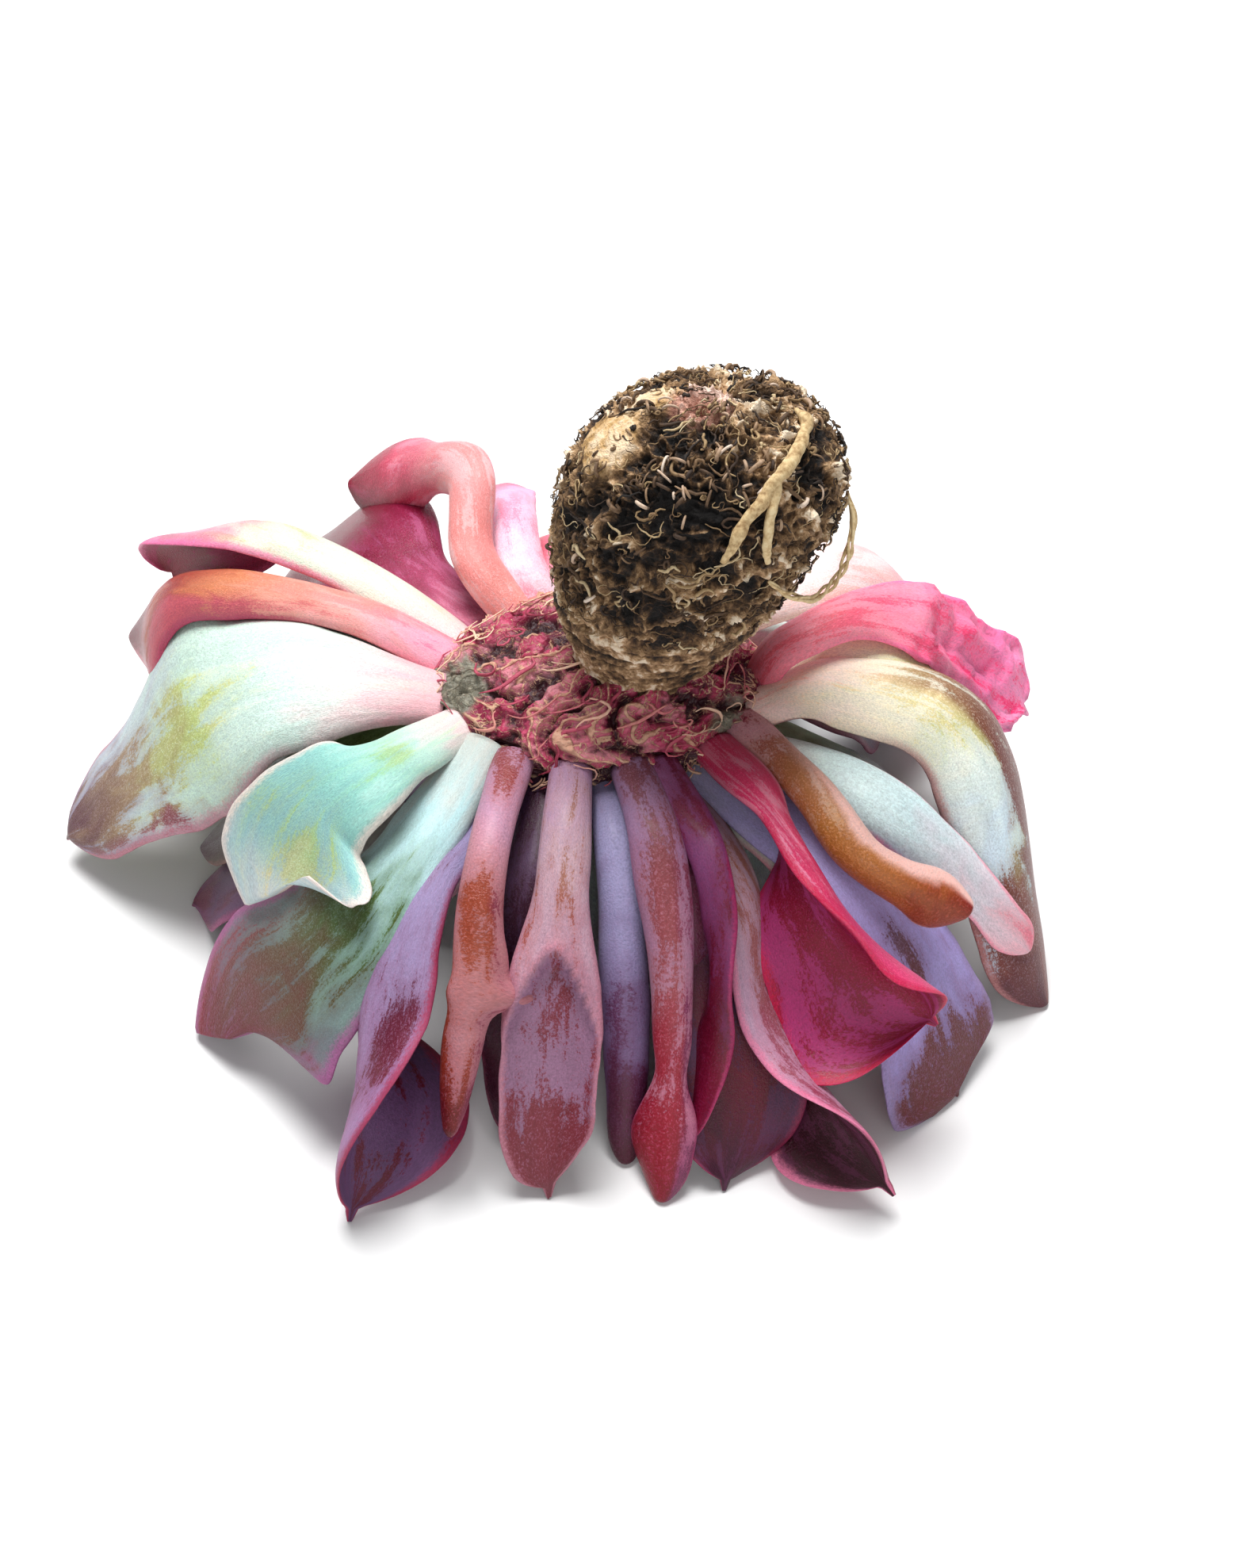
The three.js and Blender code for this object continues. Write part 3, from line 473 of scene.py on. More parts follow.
def make_piece(name, points, faces, material, attributes=None, uv=None, replaces=()):
    """A smooth mesh from points in millimetres from the crown's axis. It stays above the floor."""
    mesh = bpy.data.meshes.new(name)
    placed = (np.asarray(points) + AXIS) * MM
    placed[:, 2] = np.maximum(placed[:, 2], 0)
    mesh.from_pydata(placed.tolist(), [], [list(face) for face in faces])
    for polygon in mesh.polygons:
        polygon.use_smooth = True
    corners = np.zeros(len(mesh.loops), np.int32)
    mesh.loops.foreach_get("vertex_index", corners)
    if uv is not None:
        layer = mesh.uv_layers.new(name="UVMap")
        layer.data.foreach_set("uv", np.asarray(uv, np.float32)[corners].ravel())
    for key, values in (attributes or {}).items():
        layer = mesh.attributes.new(key, "FLOAT", "POINT")
        layer.data.foreach_set("value", np.asarray(values, np.float32).ravel())
    mesh.materials.append(material)
    piece = add_object(name, mesh)
    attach(piece, "root")
    for node in replaces:
        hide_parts(node)
    return piece


def ring_faces(rings, around):
    """Faces of a closed skin over rings of points. The two middles of its ends come after the rings."""
    faces = []
    for ring in range(rings - 1):
        for i in range(around):
            here = ring * around + i
            side = ring * around + (i + 1) % around
            faces.append((here, side, side + around, here + around))
    last = (rings - 1) * around
    for i in range(around):
        faces.append((rings * around, (i + 1) % around, i))
        faces.append((rings * around + 1, last + i, last + (i + 1) % around))
    return faces


# ---------- Leaf shapes ----------


def leaf_spine(ring, azimuth, shoulder, bend, tip):
    """Points along the middle of a leaf, from the crown over its shoulder and bend to its tip."""
    share, height = RINGS[ring]
    angle = math.radians(azimuth)
    half_x, half_y = CROWN_HALF_X * share, CROWN_HALF_Y * share
    reach = 1 / math.hypot(math.cos(angle) / half_x, math.sin(angle) / half_y)
    stops = [(azimuth, reach - BASE_DEPTH, height), shoulder, bend, tip]
    return catmull_rom([cylindrical(*stop) for stop in stops])


def leaf_width(at, widths, spike, length):
    """A leaf's width along its length, with a narrow point past the end of the blade."""
    closing = widths[-1]
    end = 1 - spike / length
    to_tip = np.clip((at - end + closing) / closing, 0, 1)
    blade = keyed(at, WIDTH_KEYS, widths[:4]) * (1 - to_tip**2) ** 0.75
    point = 2.2 * np.clip((1 - at) * length / (spike + 1.5), 0, 1) if spike else 0
    return np.maximum(blade, point) + 0.6


def lobed(at, across, lobes, seed):
    """How much wider each side is at its lobes and notches, with small uneven nicks in its margins."""
    factor = np.ones((len(at), len(across)))
    for side, place, extra, length in lobes:
        swell = extra * hump(at, place, length)
        factor += swell[:, None] * (np.sign(across) == side)[None, :]
    spots = joined(at[:, None] * 9, np.sign(across)[None, :] * 5 + 0.5, seed)
    return factor + 0.05 * fractal(spots, 3, seed) * smooth((at - 0.2) / 0.4)[:, None]


def leaf_lift(at, across, shape, length, seed):
    """How far the blade's middle surface stands out of its plain curve, in millimetres."""
    along = at[:, None]
    edge = np.abs(across)[None, :]
    sway, waves = shape.get("ripple", (0.3, 1.5))
    phase = 2 * np.pi * waves * along + 1.9 * np.sign(across)[None, :] + seed
    lift = sway * edge**2.5 * smooth((along - 0.2) / 0.5) * np.sin(phase)
    spots = joined(along * length / 9, across[None, :] * 0.8, seed * 3.7)
    lift = lift + 0.35 * noise(spots, seed) * smooth(along / 0.2)
    if "hollow" in shape:
        start, depth = shape["hollow"]
        front = along - start - 0.2 * edge**1.7
        lift = lift - depth * smooth(front / 0.04) * (1 - edge**2.2) * smooth((0.98 - along) / 0.3)
        lift = lift + 0.6 * hump(front, 0, 0.025)
    if "crumple" in shape:
        start, height = shape["crumple"]
        grain = joined(along * length / 8, across[None, :] * 1.3, seed * 1.3)
        grain = grain + 0.35 * noise(grain * 0.8, seed + 9)[..., None]
        creases = sum((0.6 - np.abs(noise(grain * 1.9**i, seed + i))) / 1.7**i for i in range(3))
        lift = lift + height * creases * smooth((along - start) / 0.15)
    return lift


def leaf_skin(row, shape, patches, stations, half, seed):
    """Points, faces, UVs, named shares and length of a leaf, with twice half points round its section."""
    _, ring, azimuth, shoulder, bend, tip, widths, curls, rolls, thickness, skew, slant = row
    curve = leaf_spine(ring, azimuth, shoulder, bend, tip)
    length = np.linalg.norm(np.diff(curve, axis=0), axis=1).sum()
    at = 1 - (1 - np.linspace(0, 1, stations)) ** 1.25
    centre = at_shares(curve, at)
    ahead = at_shares(curve, np.clip(at + 0.01, 0, 1))
    tangent = unit(ahead - at_shares(curve, np.clip(at - 0.01, 0, 1)))
    heading = (curve[-1] - curve[0]) * (1, 1, 0)
    level = np.cross((0, 0, 1), unit(heading))
    side = unit(level - tangent * (tangent @ level)[:, None])
    back = np.cross(tangent, side)
    roll = np.radians(keyed(at, ROLL_KEYS, rolls))[:, None]
    side, back = side * np.cos(roll) + back * np.sin(roll), back * np.cos(roll) - side * np.sin(roll)

    across = np.cos(np.linspace(0, np.pi, half + 1))
    width = leaf_width(at, widths, shape.get("spike", 0), length)
    uneven = 1 + skew * smooth((at - 0.1) / 0.4)[:, None] * np.sign(across)
    reach = width[:, None] / 2 * uneven * lobed(at, across, shape.get("lobes", ()), seed)
    curl = np.radians(keyed(at, CURL_KEYS, curls))[:, None]
    turn = curl * np.sign(across) * np.abs(across) ** shape.get("fold", 1)
    out = running_sum(np.cos(turn) * reach, across)
    up = -running_sum(np.sin(turn) * reach, across)
    lift = leaf_lift(at, across, shape, length, seed) * np.minimum(width / 6, 1)[:, None]
    thick = np.minimum(thickness * keyed(at, [0, 0.45, 1], [1, 0.72, 0.3]), 0.6 * width)[:, None]
    belly = np.sqrt(1 - np.abs(across) ** 2.4)
    outer = lift + 0.65 * thick * belly
    inner = lift - 0.4 * thick * belly
    slanting = slant * smooth((at - 0.6) / 0.4) * np.minimum(width / 10, 1)
    skins = []
    for offset in (outer, inner):
        sideways = (out + np.sin(turn) * offset)[..., None] * side[:, None]
        outwards = (up + np.cos(turn) * offset)[..., None] * back[:, None]
        slanted = (slanting[:, None] * across)[..., None] * tangent[:, None]
        skins.append(centre[:, None] + sideways + outwards + slanted)
    rings = np.concatenate([skins[0], skins[1][:, -2:0:-1]], axis=1)
    ends = rings[[0, -1]].mean(axis=1)
    points = np.vstack([rings.reshape(-1, 3), ends])

    section = np.concatenate([across, across[-2:0:-1]])
    inside = np.concatenate([np.zeros(half + 1), np.ones(half - 1)])
    inside[[0, half]] = 0.5
    uv = joined((section[None, :] + 1) / 2, at[:, None]).reshape(-1, 2)
    uv = np.vstack([uv, (0.5, 0), (0.5, 1)])
    inside = np.concatenate([np.tile(inside, stations), (0, 0.5)])
    front = at[:, None] - shape.get("hollow", (2, 0))[0] - 0.2 * np.abs(section)[None, :]**1.7
    hollow = np.concatenate([smooth(0.5 + front / 0.03).ravel(), (0, 0)])
    lip = np.concatenate([hump(front, -0.01, 0.012).ravel(), (0, 0)])
    spread = np.zeros((stations, len(section)))
    for middle, place, breadth, reach_along, extra in patches:
        spread += extra * hump(section, middle, breadth) * hump(at, place, reach_along)[:, None]
    patch = np.append(spread.ravel(), (0, 0))
    shares = {"inner": np.maximum(inside, hollow), "lip": lip, "patch": patch}
    return points, ring_faces(stations, 2 * half), uv, shares, length


def running_sum(values, across):
    """The integral of values over across, from the middle of the blade."""
    pieces = (values[:, 1:] + values[:, :-1]) / 2 * np.diff(across)
    total = np.concatenate([np.zeros((len(values), 1)), np.cumsum(pieces, axis=1)], axis=1)
    return total - total[:, [len(across) // 2]]


def hidden_rows():
    """A row and a look for each hidden leaf."""
    for stem, ring, first, step, count, reach, height, look in HIDDEN_LEAVES:
        for i in range(count):
            azimuth = first + i * step
            share, ring_height = RINGS[ring]
            out = share * CROWN_REACH
            shoulder = (azimuth, out + (reach - out) * 0.3, ring_height - 2)
            bend = (azimuth, out + (reach - out) * 0.7, ring_height * 0.58)
            belly = 10 + 12 * share
            widths = (7, belly * 0.6, belly, belly * 0.7, 0.2)
            row = (f"{stem}_{i + 1}", ring, azimuth, shoulder, bend, (azimuth, reach, height),
                   widths, (20, 25, 25), (0, 0, 0), 3.6, 0, 0)
            yield row, look


# ---------- Material helpers ----------


class Nodes:
    """Short calls that add shader nodes to a new material."""

    def __init__(self, name):
        self.material = bpy.data.materials.new(name)
        self.material.use_nodes = True
        self.tree = self.material.node_tree
        self.shader = self.tree.nodes["Principled BSDF"]

    def add(self, kind, inputs=(), **settings):
        node = self.tree.nodes.new(kind)
        for key, value in settings.items():
            setattr(node, key, value)
        for key, value in dict(inputs).items():
            self.put(node.inputs[key], value)
        return node

    def put(self, socket, value):
        if isinstance(value, bpy.types.NodeSocket):
            self.tree.links.new(value, socket)
        else:
            socket.default_value = value

    def maths(self, operation, first, second=0.0, third=0.0, clamp=False):
        node = self.add("ShaderNodeMath", {0: first, 1: second, 2: third}, operation=operation)
        node.use_clamp = clamp
        return node.outputs[0]

    def times(self, first, second):
        return self.maths("MULTIPLY", first, second)

    def times_plus(self, first, factor, added, clamp=False):
        return self.maths("MULTIPLY_ADD", first, factor, added, clamp)

    def swing(self, noise, factor, value, middle=0.5, clamp=False):
        """A value, moved by how far a noise is from its middle."""
        return self.times_plus(self.maths("SUBTRACT", noise, middle), factor, value, clamp)

    def larger(self, first, second):
        return self.maths("MAXIMUM", first, second)

    def mix(self, factor, first, second, blend="MIX"):
        """A colour between two colours, or their product with blend MULTIPLY."""
        inputs = {0: factor, 6: first, 7: second}
        return self.add("ShaderNodeMix", inputs, data_type="RGBA", blend_type=blend).outputs[2]

    def blend(self, factor, first, second):
        """A number between two numbers."""
        return self.add("ShaderNodeMix", {0: factor, 2: first, 3: second}, data_type="FLOAT").outputs[0]

    def step(self, value, low, high):
        """0 below low and 1 above high, with a soft step between them."""
        inputs = {"Value": value, "From Min": low, "From Max": high}
        return self.add("ShaderNodeMapRange", inputs, interpolation_type="SMOOTHSTEP").outputs[0]

    def even_steps(self, value, colours):
        """A ramp of linear colours at even steps."""
        node = self.add("ShaderNodeValToRGB", {0: value})
        elements = node.color_ramp.elements
        while len(elements) < len(colours):
            elements.new(0.5)
        for i, colour in enumerate(colours):
            elements[i].position = i / (len(colours) - 1)
            elements[i].color = colour
        return node.outputs[0]

    def ramp(self, value, colours):
        """A colour from hex colours at even steps, with spaces between them."""
        return self.even_steps(value, [linear(colour) for colour in colours.split()])

    def curve(self, value, levels):
        """A number from numbers at even steps."""
        return self.even_steps(value, [(level, level, level, 1) for level in levels])

    def scaled(self, vector, scale, offset=(0, 0, 0)):
        inputs = {"Vector": vector, "Scale": scale, "Location": offset}
        return self.add("ShaderNodeMapping", inputs).outputs[0]

    def noise(self, vector, scale, detail=3.0, roughness=0.5, distortion=0.0):
        inputs = {"Vector": vector, "Scale": scale, "Detail": detail, "Roughness": roughness,
                  "Distortion": distortion}
        return self.add("ShaderNodeTexNoise", inputs).outputs[0]

    def object_place(self):
        return self.add("ShaderNodeTexCoord").outputs["Object"]

    def attribute(self, name):
        return self.add("ShaderNodeAttribute", attribute_name=name).outputs["Fac"]

    def bump(self, height, strength, distance):
        inputs = {"Height": height, "Strength": strength, "Distance": distance * MM}
        return self.add("ShaderNodeBump", inputs).outputs[0]

    def shade(self, **values):
        """Sets the shader's sockets, by their names with spaces as underscores."""
        for key, value in values.items():
            self.put(self.shader.inputs[key.replace("_", " ")], value)


# ---------- Leaf material ----------


def leaf_material(name, look, flank, width, length, seed):
    """Waxy leaf flesh under a powdery bloom that is rubbed off in streaks along the leaf."""
    flesh, powder, cover, plain = look
    margin, inner_flesh, inner_powder = (linear(colour) for colour in plain.split())
    nodes = Nodes(name)
    uv = nodes.add("ShaderNodeUVMap", uv_map="UVMap").outputs[0]
    split = nodes.add("ShaderNodeSeparateXYZ", {0: uv})
    along = split.outputs[1]
    to_side = nodes.times_plus(split.outputs[0], 2.0, -1.0)
    off_middle = nodes.maths("ABSOLUTE", to_side)
    inner = nodes.attribute("inner")

    shift = (seed * 7.3, seed * 3.1, seed * 1.7)
    streaks = nodes.scaled(uv, (width, length * 0.15, 1), shift)
    spots = nodes.scaled(uv, (width, length * 0.7, 1), shift)
    coarse = nodes.noise(streaks, 0.34, 5, 0.65, 0.5)
    patchy = nodes.noise(spots, 0.14, 3, 0.55, 0.8)
    fine = nodes.noise(spots, 2.6, 4, 0.7)
    grain = nodes.noise(spots, 4.5, 2, 0.6)

    wander = nodes.swing(patchy, 0.45, along, clamp=True)
    rubbed = nodes.times_plus(coarse, 1.3, nodes.times_plus(patchy, 0.8, -0.95))
    rubbed = nodes.times_plus(fine, 0.8, rubbed)
    covered = nodes.times_plus(nodes.maths("POWER", off_middle, 2.0), 0.15, nodes.curve(along, cover))
    covered = nodes.maths("ADD", nodes.attribute("patch"), covered)
    outer_flesh = nodes.ramp(wander, flesh)
    if flank:
        side, start, colour, bare = flank
        reached = nodes.swing(patchy, 0.9, to_side)
        reached = nodes.step(nodes.times(reached, side), start, start + 0.35)
        reached = nodes.times(reached, nodes.step(along, 0.1, 0.5))
        outer_flesh = nodes.mix(reached, outer_flesh, linear(colour))
        covered = nodes.times_plus(reached, -bare, covered)
    shown = nodes.maths("SUBTRACT", covered, rubbed)
    dust = nodes.times(nodes.step(nodes.maths("ADD", fine, grain), 1.0, 1.25), 0.45)
    bloom = nodes.larger(nodes.step(shown, -0.04, 0.08), dust)
    thick_bloom = nodes.step(shown, 0.05, 0.4)

    whitened = nodes.times_plus(thick_bloom, 0.3, 0.7)
    powdery = nodes.mix(whitened, outer_flesh, nodes.ramp(wander, powder))
    outside = nodes.mix(bloom, outer_flesh, powdery)
    inside = nodes.mix(bloom, inner_flesh, inner_powder)
    colour = nodes.mix(inner, outside, inside)
    edge = nodes.swing(fine, 0.2, off_middle)
    rim = nodes.times(nodes.step(edge, 0.82, 0.97), nodes.step(along, 0.15, 0.45))
    rim = nodes.larger(rim, nodes.attribute("lip"))
    colour = nodes.mix(nodes.times(rim, 0.75), colour, margin)
    tint = nodes.times_plus(grain, 0.6, nodes.times_plus(fine, 0.6, 0.4))
    tint = nodes.swing(coarse, 0.5, tint)
    colour = nodes.mix(1.0, colour, tint, "MULTIPLY")
    colour = nodes.add("ShaderNodeGamma", {"Color": colour, "Gamma": 1.25}).outputs[0]

    height = nodes.times_plus(bloom, 0.3, nodes.times(grain, 0.6))
    height = nodes.times_plus(fine, 0.8, height)
    height = nodes.times_plus(coarse, 1.2, height)
    nodes.shade(
        Base_Color=colour,
        Roughness=nodes.blend(bloom, 0.28, 0.52),
        Normal=nodes.bump(height, 0.5, 0.3),
        Subsurface_Weight=0.12,
        Subsurface_Radius=(1.0, 0.45, 0.35),
        Subsurface_Scale=1.2 * MM,
        Specular_IOR_Level=0.32,
        Coat_Weight=0.08,
        Coat_Roughness=0.22,
    )
    return nodes.material


# ---------- Turned shapes: crown, stem and root ball ----------


def turned_place(profile, share, azimuth):
    """Places on a smooth turned shape, at shares of its outline's length and azimuths in radians."""
    outline = catmull_rom(profile)
    rise = np.abs(np.diff(outline[:, 0])) + np.abs(np.diff(outline[:, 1]))
    walked = np.concatenate([[0], np.cumsum(rise)]) / rise.sum()
    columns = (np.interp(share, walked, column) for column in outline.T)
    height, half_x, half_y, offset_x, offset_y = columns
    return np.stack([
        offset_x + np.maximum(half_x, 0.2) * np.cos(azimuth),
        offset_y + np.maximum(half_y, 0.2) * np.sin(azimuth),
        height,
    ], axis=-1)


def share_at(profile, heights):
    """The shares of a profile's outline at heights."""
    shares = np.linspace(0, 1, 200)
    return np.interp(heights, turned_place(profile, shares, np.zeros(200))[:, 2], shares)


def turned_frame(profile, share, azimuth):
    """Places on a turned shape and the directions that point out of it."""
    place = turned_place(profile, share, azimuth)
    around = turned_place(profile, share, azimuth + 0.01) - place
    upwards = turned_place(profile, np.minimum(share + 0.005, 1), azimuth)
    upwards = upwards - turned_place(profile, np.maximum(share - 0.005, 0), azimuth)
    return place, unit(np.cross(around, upwards))


def turned_piece(name, profile, relief, rows, around, material):
    """A turned shape whose relief(place, share, azimuth) says how far it stands out, and attributes."""
    turn = np.linspace(0, 2 * np.pi, around, endpoint=False)
    share, azimuth = np.meshgrid(np.linspace(0, 1, rows), turn, indexing="ij")
    place, out = turned_frame(profile, share, azimuth)
    height, attributes = relief(place, share, azimuth)
    skin = place + out * height[..., None]
    ends = skin[[0, -1]].mean(axis=1)
    points = np.vstack([skin.reshape(-1, 3), ends])
    values = {
        key: np.concatenate([value.ravel(), value[[0, -1]].mean(axis=1)])
        for key, value in attributes.items()
    }
    return make_piece(name, points, ring_faces(rows, around), material, values, replaces=[name])


def near(place, centre, radius):
    """1 at a centre, fading to 0 at a radius from it."""
    return smooth(1 - np.linalg.norm(place - np.array(centre), axis=-1) / radius)


def spotted(place, spots):
    """How strongly spots, each (x, y, z, radius, strength), cover a place."""
    return sum(strength * near(place, centre, radius) for *centre, radius, strength in spots)


# ---------- Strands: fibres, roots and papery flakes ----------

OUTLINE_LENGTH = 52             # about the length of a turned shape's outline
SKIN_RADIUS = 16                # and about the radius of its skin


def strands(paths, outward, breadth, depth, sides):
    """Closed strands along paths (strand, step, xyz), with half sizes along the skin and out of it."""
    count, steps, _ = paths.shape
    tangent = unit(np.gradient(paths, axis=1))
    across = unit(np.cross(tangent, outward))
    up = np.cross(across, tangent)
    angle = np.linspace(0, 2 * np.pi, sides, endpoint=False)
    ring = across[:, :, None] * (breadth[..., None] * np.cos(angle))[..., None]
    ring = ring + up[:, :, None] * (depth[..., None] * np.sin(angle))[..., None]
    ring = paths[:, :, None] + ring
    ends = np.stack([paths[:, 0], paths[:, -1]], axis=1)
    points = np.concatenate([ring.reshape(count, -1, 3), ends], axis=1)
    faces = np.array([face if len(face) == 4 else (*face, -1) for face in ring_faces(steps, sides)])
    every = []
    for i in range(count):
        moved = np.where(faces < 0, -1, faces + i * points.shape[1])
        every.extend(tuple(v for v in face if v >= 0) for face in moved.tolist())
    return points.reshape(-1, 3), every, points.shape[1]


def wander_paths(rng, profile, count, steps, start, heading, step_length, wiggle, lift):
    """Winding paths over a turned shape, from shares and azimuths at the start, lift over its skin."""
    share, azimuth = start
    angle = heading
    turning = rng.normal(0, wiggle, count)
    shares, azimuths = [share], [azimuth]
    for _ in range(steps - 1):
        turning = 0.7 * turning + rng.normal(0, wiggle, count)
        angle = angle + turning
        share = np.clip(share + np.sin(angle) * step_length / OUTLINE_LENGTH, 0.01, 0.985)
        azimuth = azimuth + np.cos(angle) * step_length / SKIN_RADIUS
        shares.append(share)
        azimuths.append(azimuth)
    place, out = turned_frame(profile, np.stack(shares, axis=1), np.stack(azimuths, axis=1))
    return place + out * lift[..., None], out


# ---------- Crown ----------

DRY_SPOTS = [(-22, -4, 43, 13, 1.0), (21, -12, 43, 9, 0.8)]     # where old scars have gone grey


def crown_relief(place, share, azimuth):
    """Folds of old leaf scars that wind round the collar, with torn papery ridges along them."""
    warp = fractal(place * 0.1, 3, 11)
    wound = place[..., 2] * 0.16 + 5 * azimuth / np.pi + 0.8 * warp
    rope = 1 - (2 * (wound - np.floor(wound)) - 1) ** 2
    finer = wound * 3 + 0.8 * fractal(place * 0.25, 2, 15)
    thread = 1 - np.abs(2 * (finer - np.floor(finer)) - 1)
    torn = fractal(place * (0.55, 0.55, 1.0), 4, 21)
    crumbs = fractal(place * 1.7, 3, 31)
    height = 2.2 * rope + 0.7 * thread**2 + 0.5 * torn + 0.2 * crumbs - 2.3
    height = height * smooth(share / 0.3)
    # crest: how high the skin stands; the material paints the low grooves near black as painted shade
    crest = np.clip(0.3 * thread + 0.6 * rope + 0.3 * torn + 0.15 * crumbs, 0, 1)
    ridge = thread * rope
    # low: 1 at the crown's lower front, fading to 0, which the material paints darker as painted shade
    low = smooth((44 - place[..., 2]) / 7) * smooth((6 - place[..., 1]) / 20)
    grey = np.clip(spotted(place, DRY_SPOTS) + 0.3 * torn, 0, 1)
    return height, {"crest": crest, "ridge": ridge, "grey": grey, "low": low}


def crown_material():
    """Pink and crimson scar skin with painted shade in the grooves and on the lower front, cream where
    papery edges stick up, with dry grey patches.
    """
    nodes = Nodes("crown_scars")
    where = nodes.object_place()
    crest = nodes.attribute("crest")
    broad = nodes.noise(where, 100, 3, 0.5, 0.5)
    fine = nodes.noise(where, 1000, 4, 0.65)
    squiggle = nodes.noise(nodes.scaled(where, (1, 1, 1.6)), 170, 3, 0.5, 2.0)
    smaller = nodes.noise(nodes.scaled(where, (1, 1, 1.6)), 380, 2, 0.5, 1.6)
    # the lower front is painted darker, as painted shade
    tone = nodes.times_plus(nodes.attribute("low"), -0.28, broad)
    skin = nodes.ramp(nodes.step(tone, 0.2, 0.65), "#38061a #741638 #ac2850 #cc4c70 #dc8894")
    # the grooves between the folds go near-black crimson: painted shade over the crimson of the scar skin
    colour = nodes.mix(nodes.step(crest, 0.12, 0.8), linear("#340614"), skin)
    paper = nodes.ramp(fine, "#9c6450 #d4a888 #f0d8b8")
    first = nodes.maths("ABSOLUTE", nodes.maths("SUBTRACT", squiggle, 0.5))
    second = nodes.maths("ABSOLUTE", nodes.maths("SUBTRACT", smaller, 0.5))
    lines = nodes.maths("SUBTRACT", 1.0, nodes.step(first, 0.008, 0.02))
    lines = nodes.larger(lines, nodes.maths("SUBTRACT", 1.0, nodes.step(second, 0.005, 0.014)))
    lines = nodes.times(lines, nodes.step(nodes.times_plus(fine, 0.5, crest), 0.3, 0.6))
    edges = nodes.step(nodes.times_plus(broad, 0.6, nodes.attribute("ridge")), 0.94, 1.08)
    torn = nodes.larger(lines, edges)
    colour = nodes.mix(nodes.times(torn, 0.85), colour, paper)
    dry = nodes.ramp(fine, "#3c3830 #807c6c #c8c0a8")
    colour = nodes.mix(nodes.step(nodes.attribute("grey"), 0.35, 0.7), colour, dry)
    height = nodes.times_plus(torn, 0.6, nodes.maths("ADD", fine, smaller))
    nodes.shade(
        Base_Color=colour,
        Roughness=nodes.blend(torn, 0.45, 0.8),
        Normal=nodes.bump(height, 0.8, 0.5),
        Subsurface_Weight=0.08,
        Subsurface_Radius=(1.0, 0.4, 0.3),
        Subsurface_Scale=1.2 * MM,
    )
    return nodes.material


def strand_material(name, colours, roughness=0.75, mottle=0.5):
    """Dry fibre: each strand has its own tone, with a fine mottled grain over it."""
    nodes = Nodes(name)
    where = nodes.object_place()
    grain = nodes.noise(where, 1300, 3, 0.6)
    tone = nodes.swing(grain, mottle, nodes.attribute("tone"))
    nodes.shade(
        Base_Color=nodes.ramp(tone, colours),
        Roughness=roughness,
        Normal=nodes.bump(grain, 0.5, 0.2),
    )
    return nodes.material


def strand_piece(name, paths, outward, breadth, depth, tone, material, sides=6, replaces=()):
    """Strands in one mesh, each with its own tone, which hides the parts that it replaces."""
    points, faces, each = strands(paths, outward, breadth, depth, sides)
    attributes = {"tone": np.repeat(tone, each)}
    return make_piece(name, points, faces, material, attributes, replaces=replaces)


def tapered(count, steps, sizes, blunt=0.35):
    """Half sizes along strands that thin out towards their ends."""
    at = np.linspace(0, 1, steps)[None, :]
    return sizes[:, None] * (blunt + (1 - blunt) * np.sin(np.pi * np.clip(at * 0.9 + 0.08, 0, 1)))


def crown_flakes(rng):
    """Papery edges of old leaf bases that wind round the collar and curl off it."""
    count, steps = 90, 12
    share = rng.uniform(share_at(CROWN_PROFILE, 38.5), 0.97, count)
    azimuth = rng.uniform(-np.pi, np.pi, count)
    heading = rng.normal(0.15, 0.35, count)
    step_length = rng.uniform(0.35, 0.95, count)
    curl = np.linspace(-1, 1, steps)[None, :] ** 2
    lift = 0.45 + rng.uniform(0.0, 0.6, count)[:, None] * curl
    start = share, azimuth
    paths, out = wander_paths(rng, CROWN_PROFILE, count, steps, start, heading, step_length, 0.3, lift)
    tilt = unit(out + rng.normal(0, 0.45, (count, 1, 3)))
    breadth = tapered(count, steps, rng.uniform(0.1, 0.34, count), 0.15)
    depth = np.full((count, steps), 0.09)
    tone = rng.uniform(0, 1, count)
    material = strand_material("papery_flakes", "#7c1c34 #b84860 #e09c8c #ecd0b0", roughness=0.6)
    return strand_piece("crown_flakes", paths, tilt, breadth, depth, tone, material, sides=6)


def crown_hairs(rng):
    """Small curled threads along the collar's lower edge."""
    count, steps = 130, 10
    azimuth = rng.uniform(-np.pi, np.pi, count)
    share = share_at(CROWN_PROFILE, rng.uniform(38.6, 40.5, count))
    place, out = turned_frame(CROWN_PROFILE, share, azimuth)
    at = np.linspace(0, 1, steps)[None, :, None]
    size = rng.uniform(0.8, 2.4, count)[:, None, None]
    turn = rng.uniform(1.5, 5.0, count)[:, None, None] * at
    sideways = unit(np.cross(out, (0, 0, 1)))[:, None] * rng.choice([-1, 1], count)[:, None, None]
    down = np.array([0, 0, -1.0])
    paths = place[:, None] + out[:, None] * (0.4 + size * 0.45 * at)
    paths = paths + down * size * 0.8 * np.sin(turn * 0.6) + sideways * size * 0.5 * (1 - np.cos(turn))
    breadth = tapered(count, steps, rng.uniform(0.12, 0.26, count))
    tone = rng.uniform(0, 1, count)
    material = strand_material("curled_hairs", "#7c2434 #c06068 #e8b89c #c8a080")
    outward = np.repeat(out[:, None], steps, axis=1)
    return strand_piece("crown_hairs", paths, outward, breadth, breadth, tone, material, sides=5)


# ---------- Stem and root ball ----------

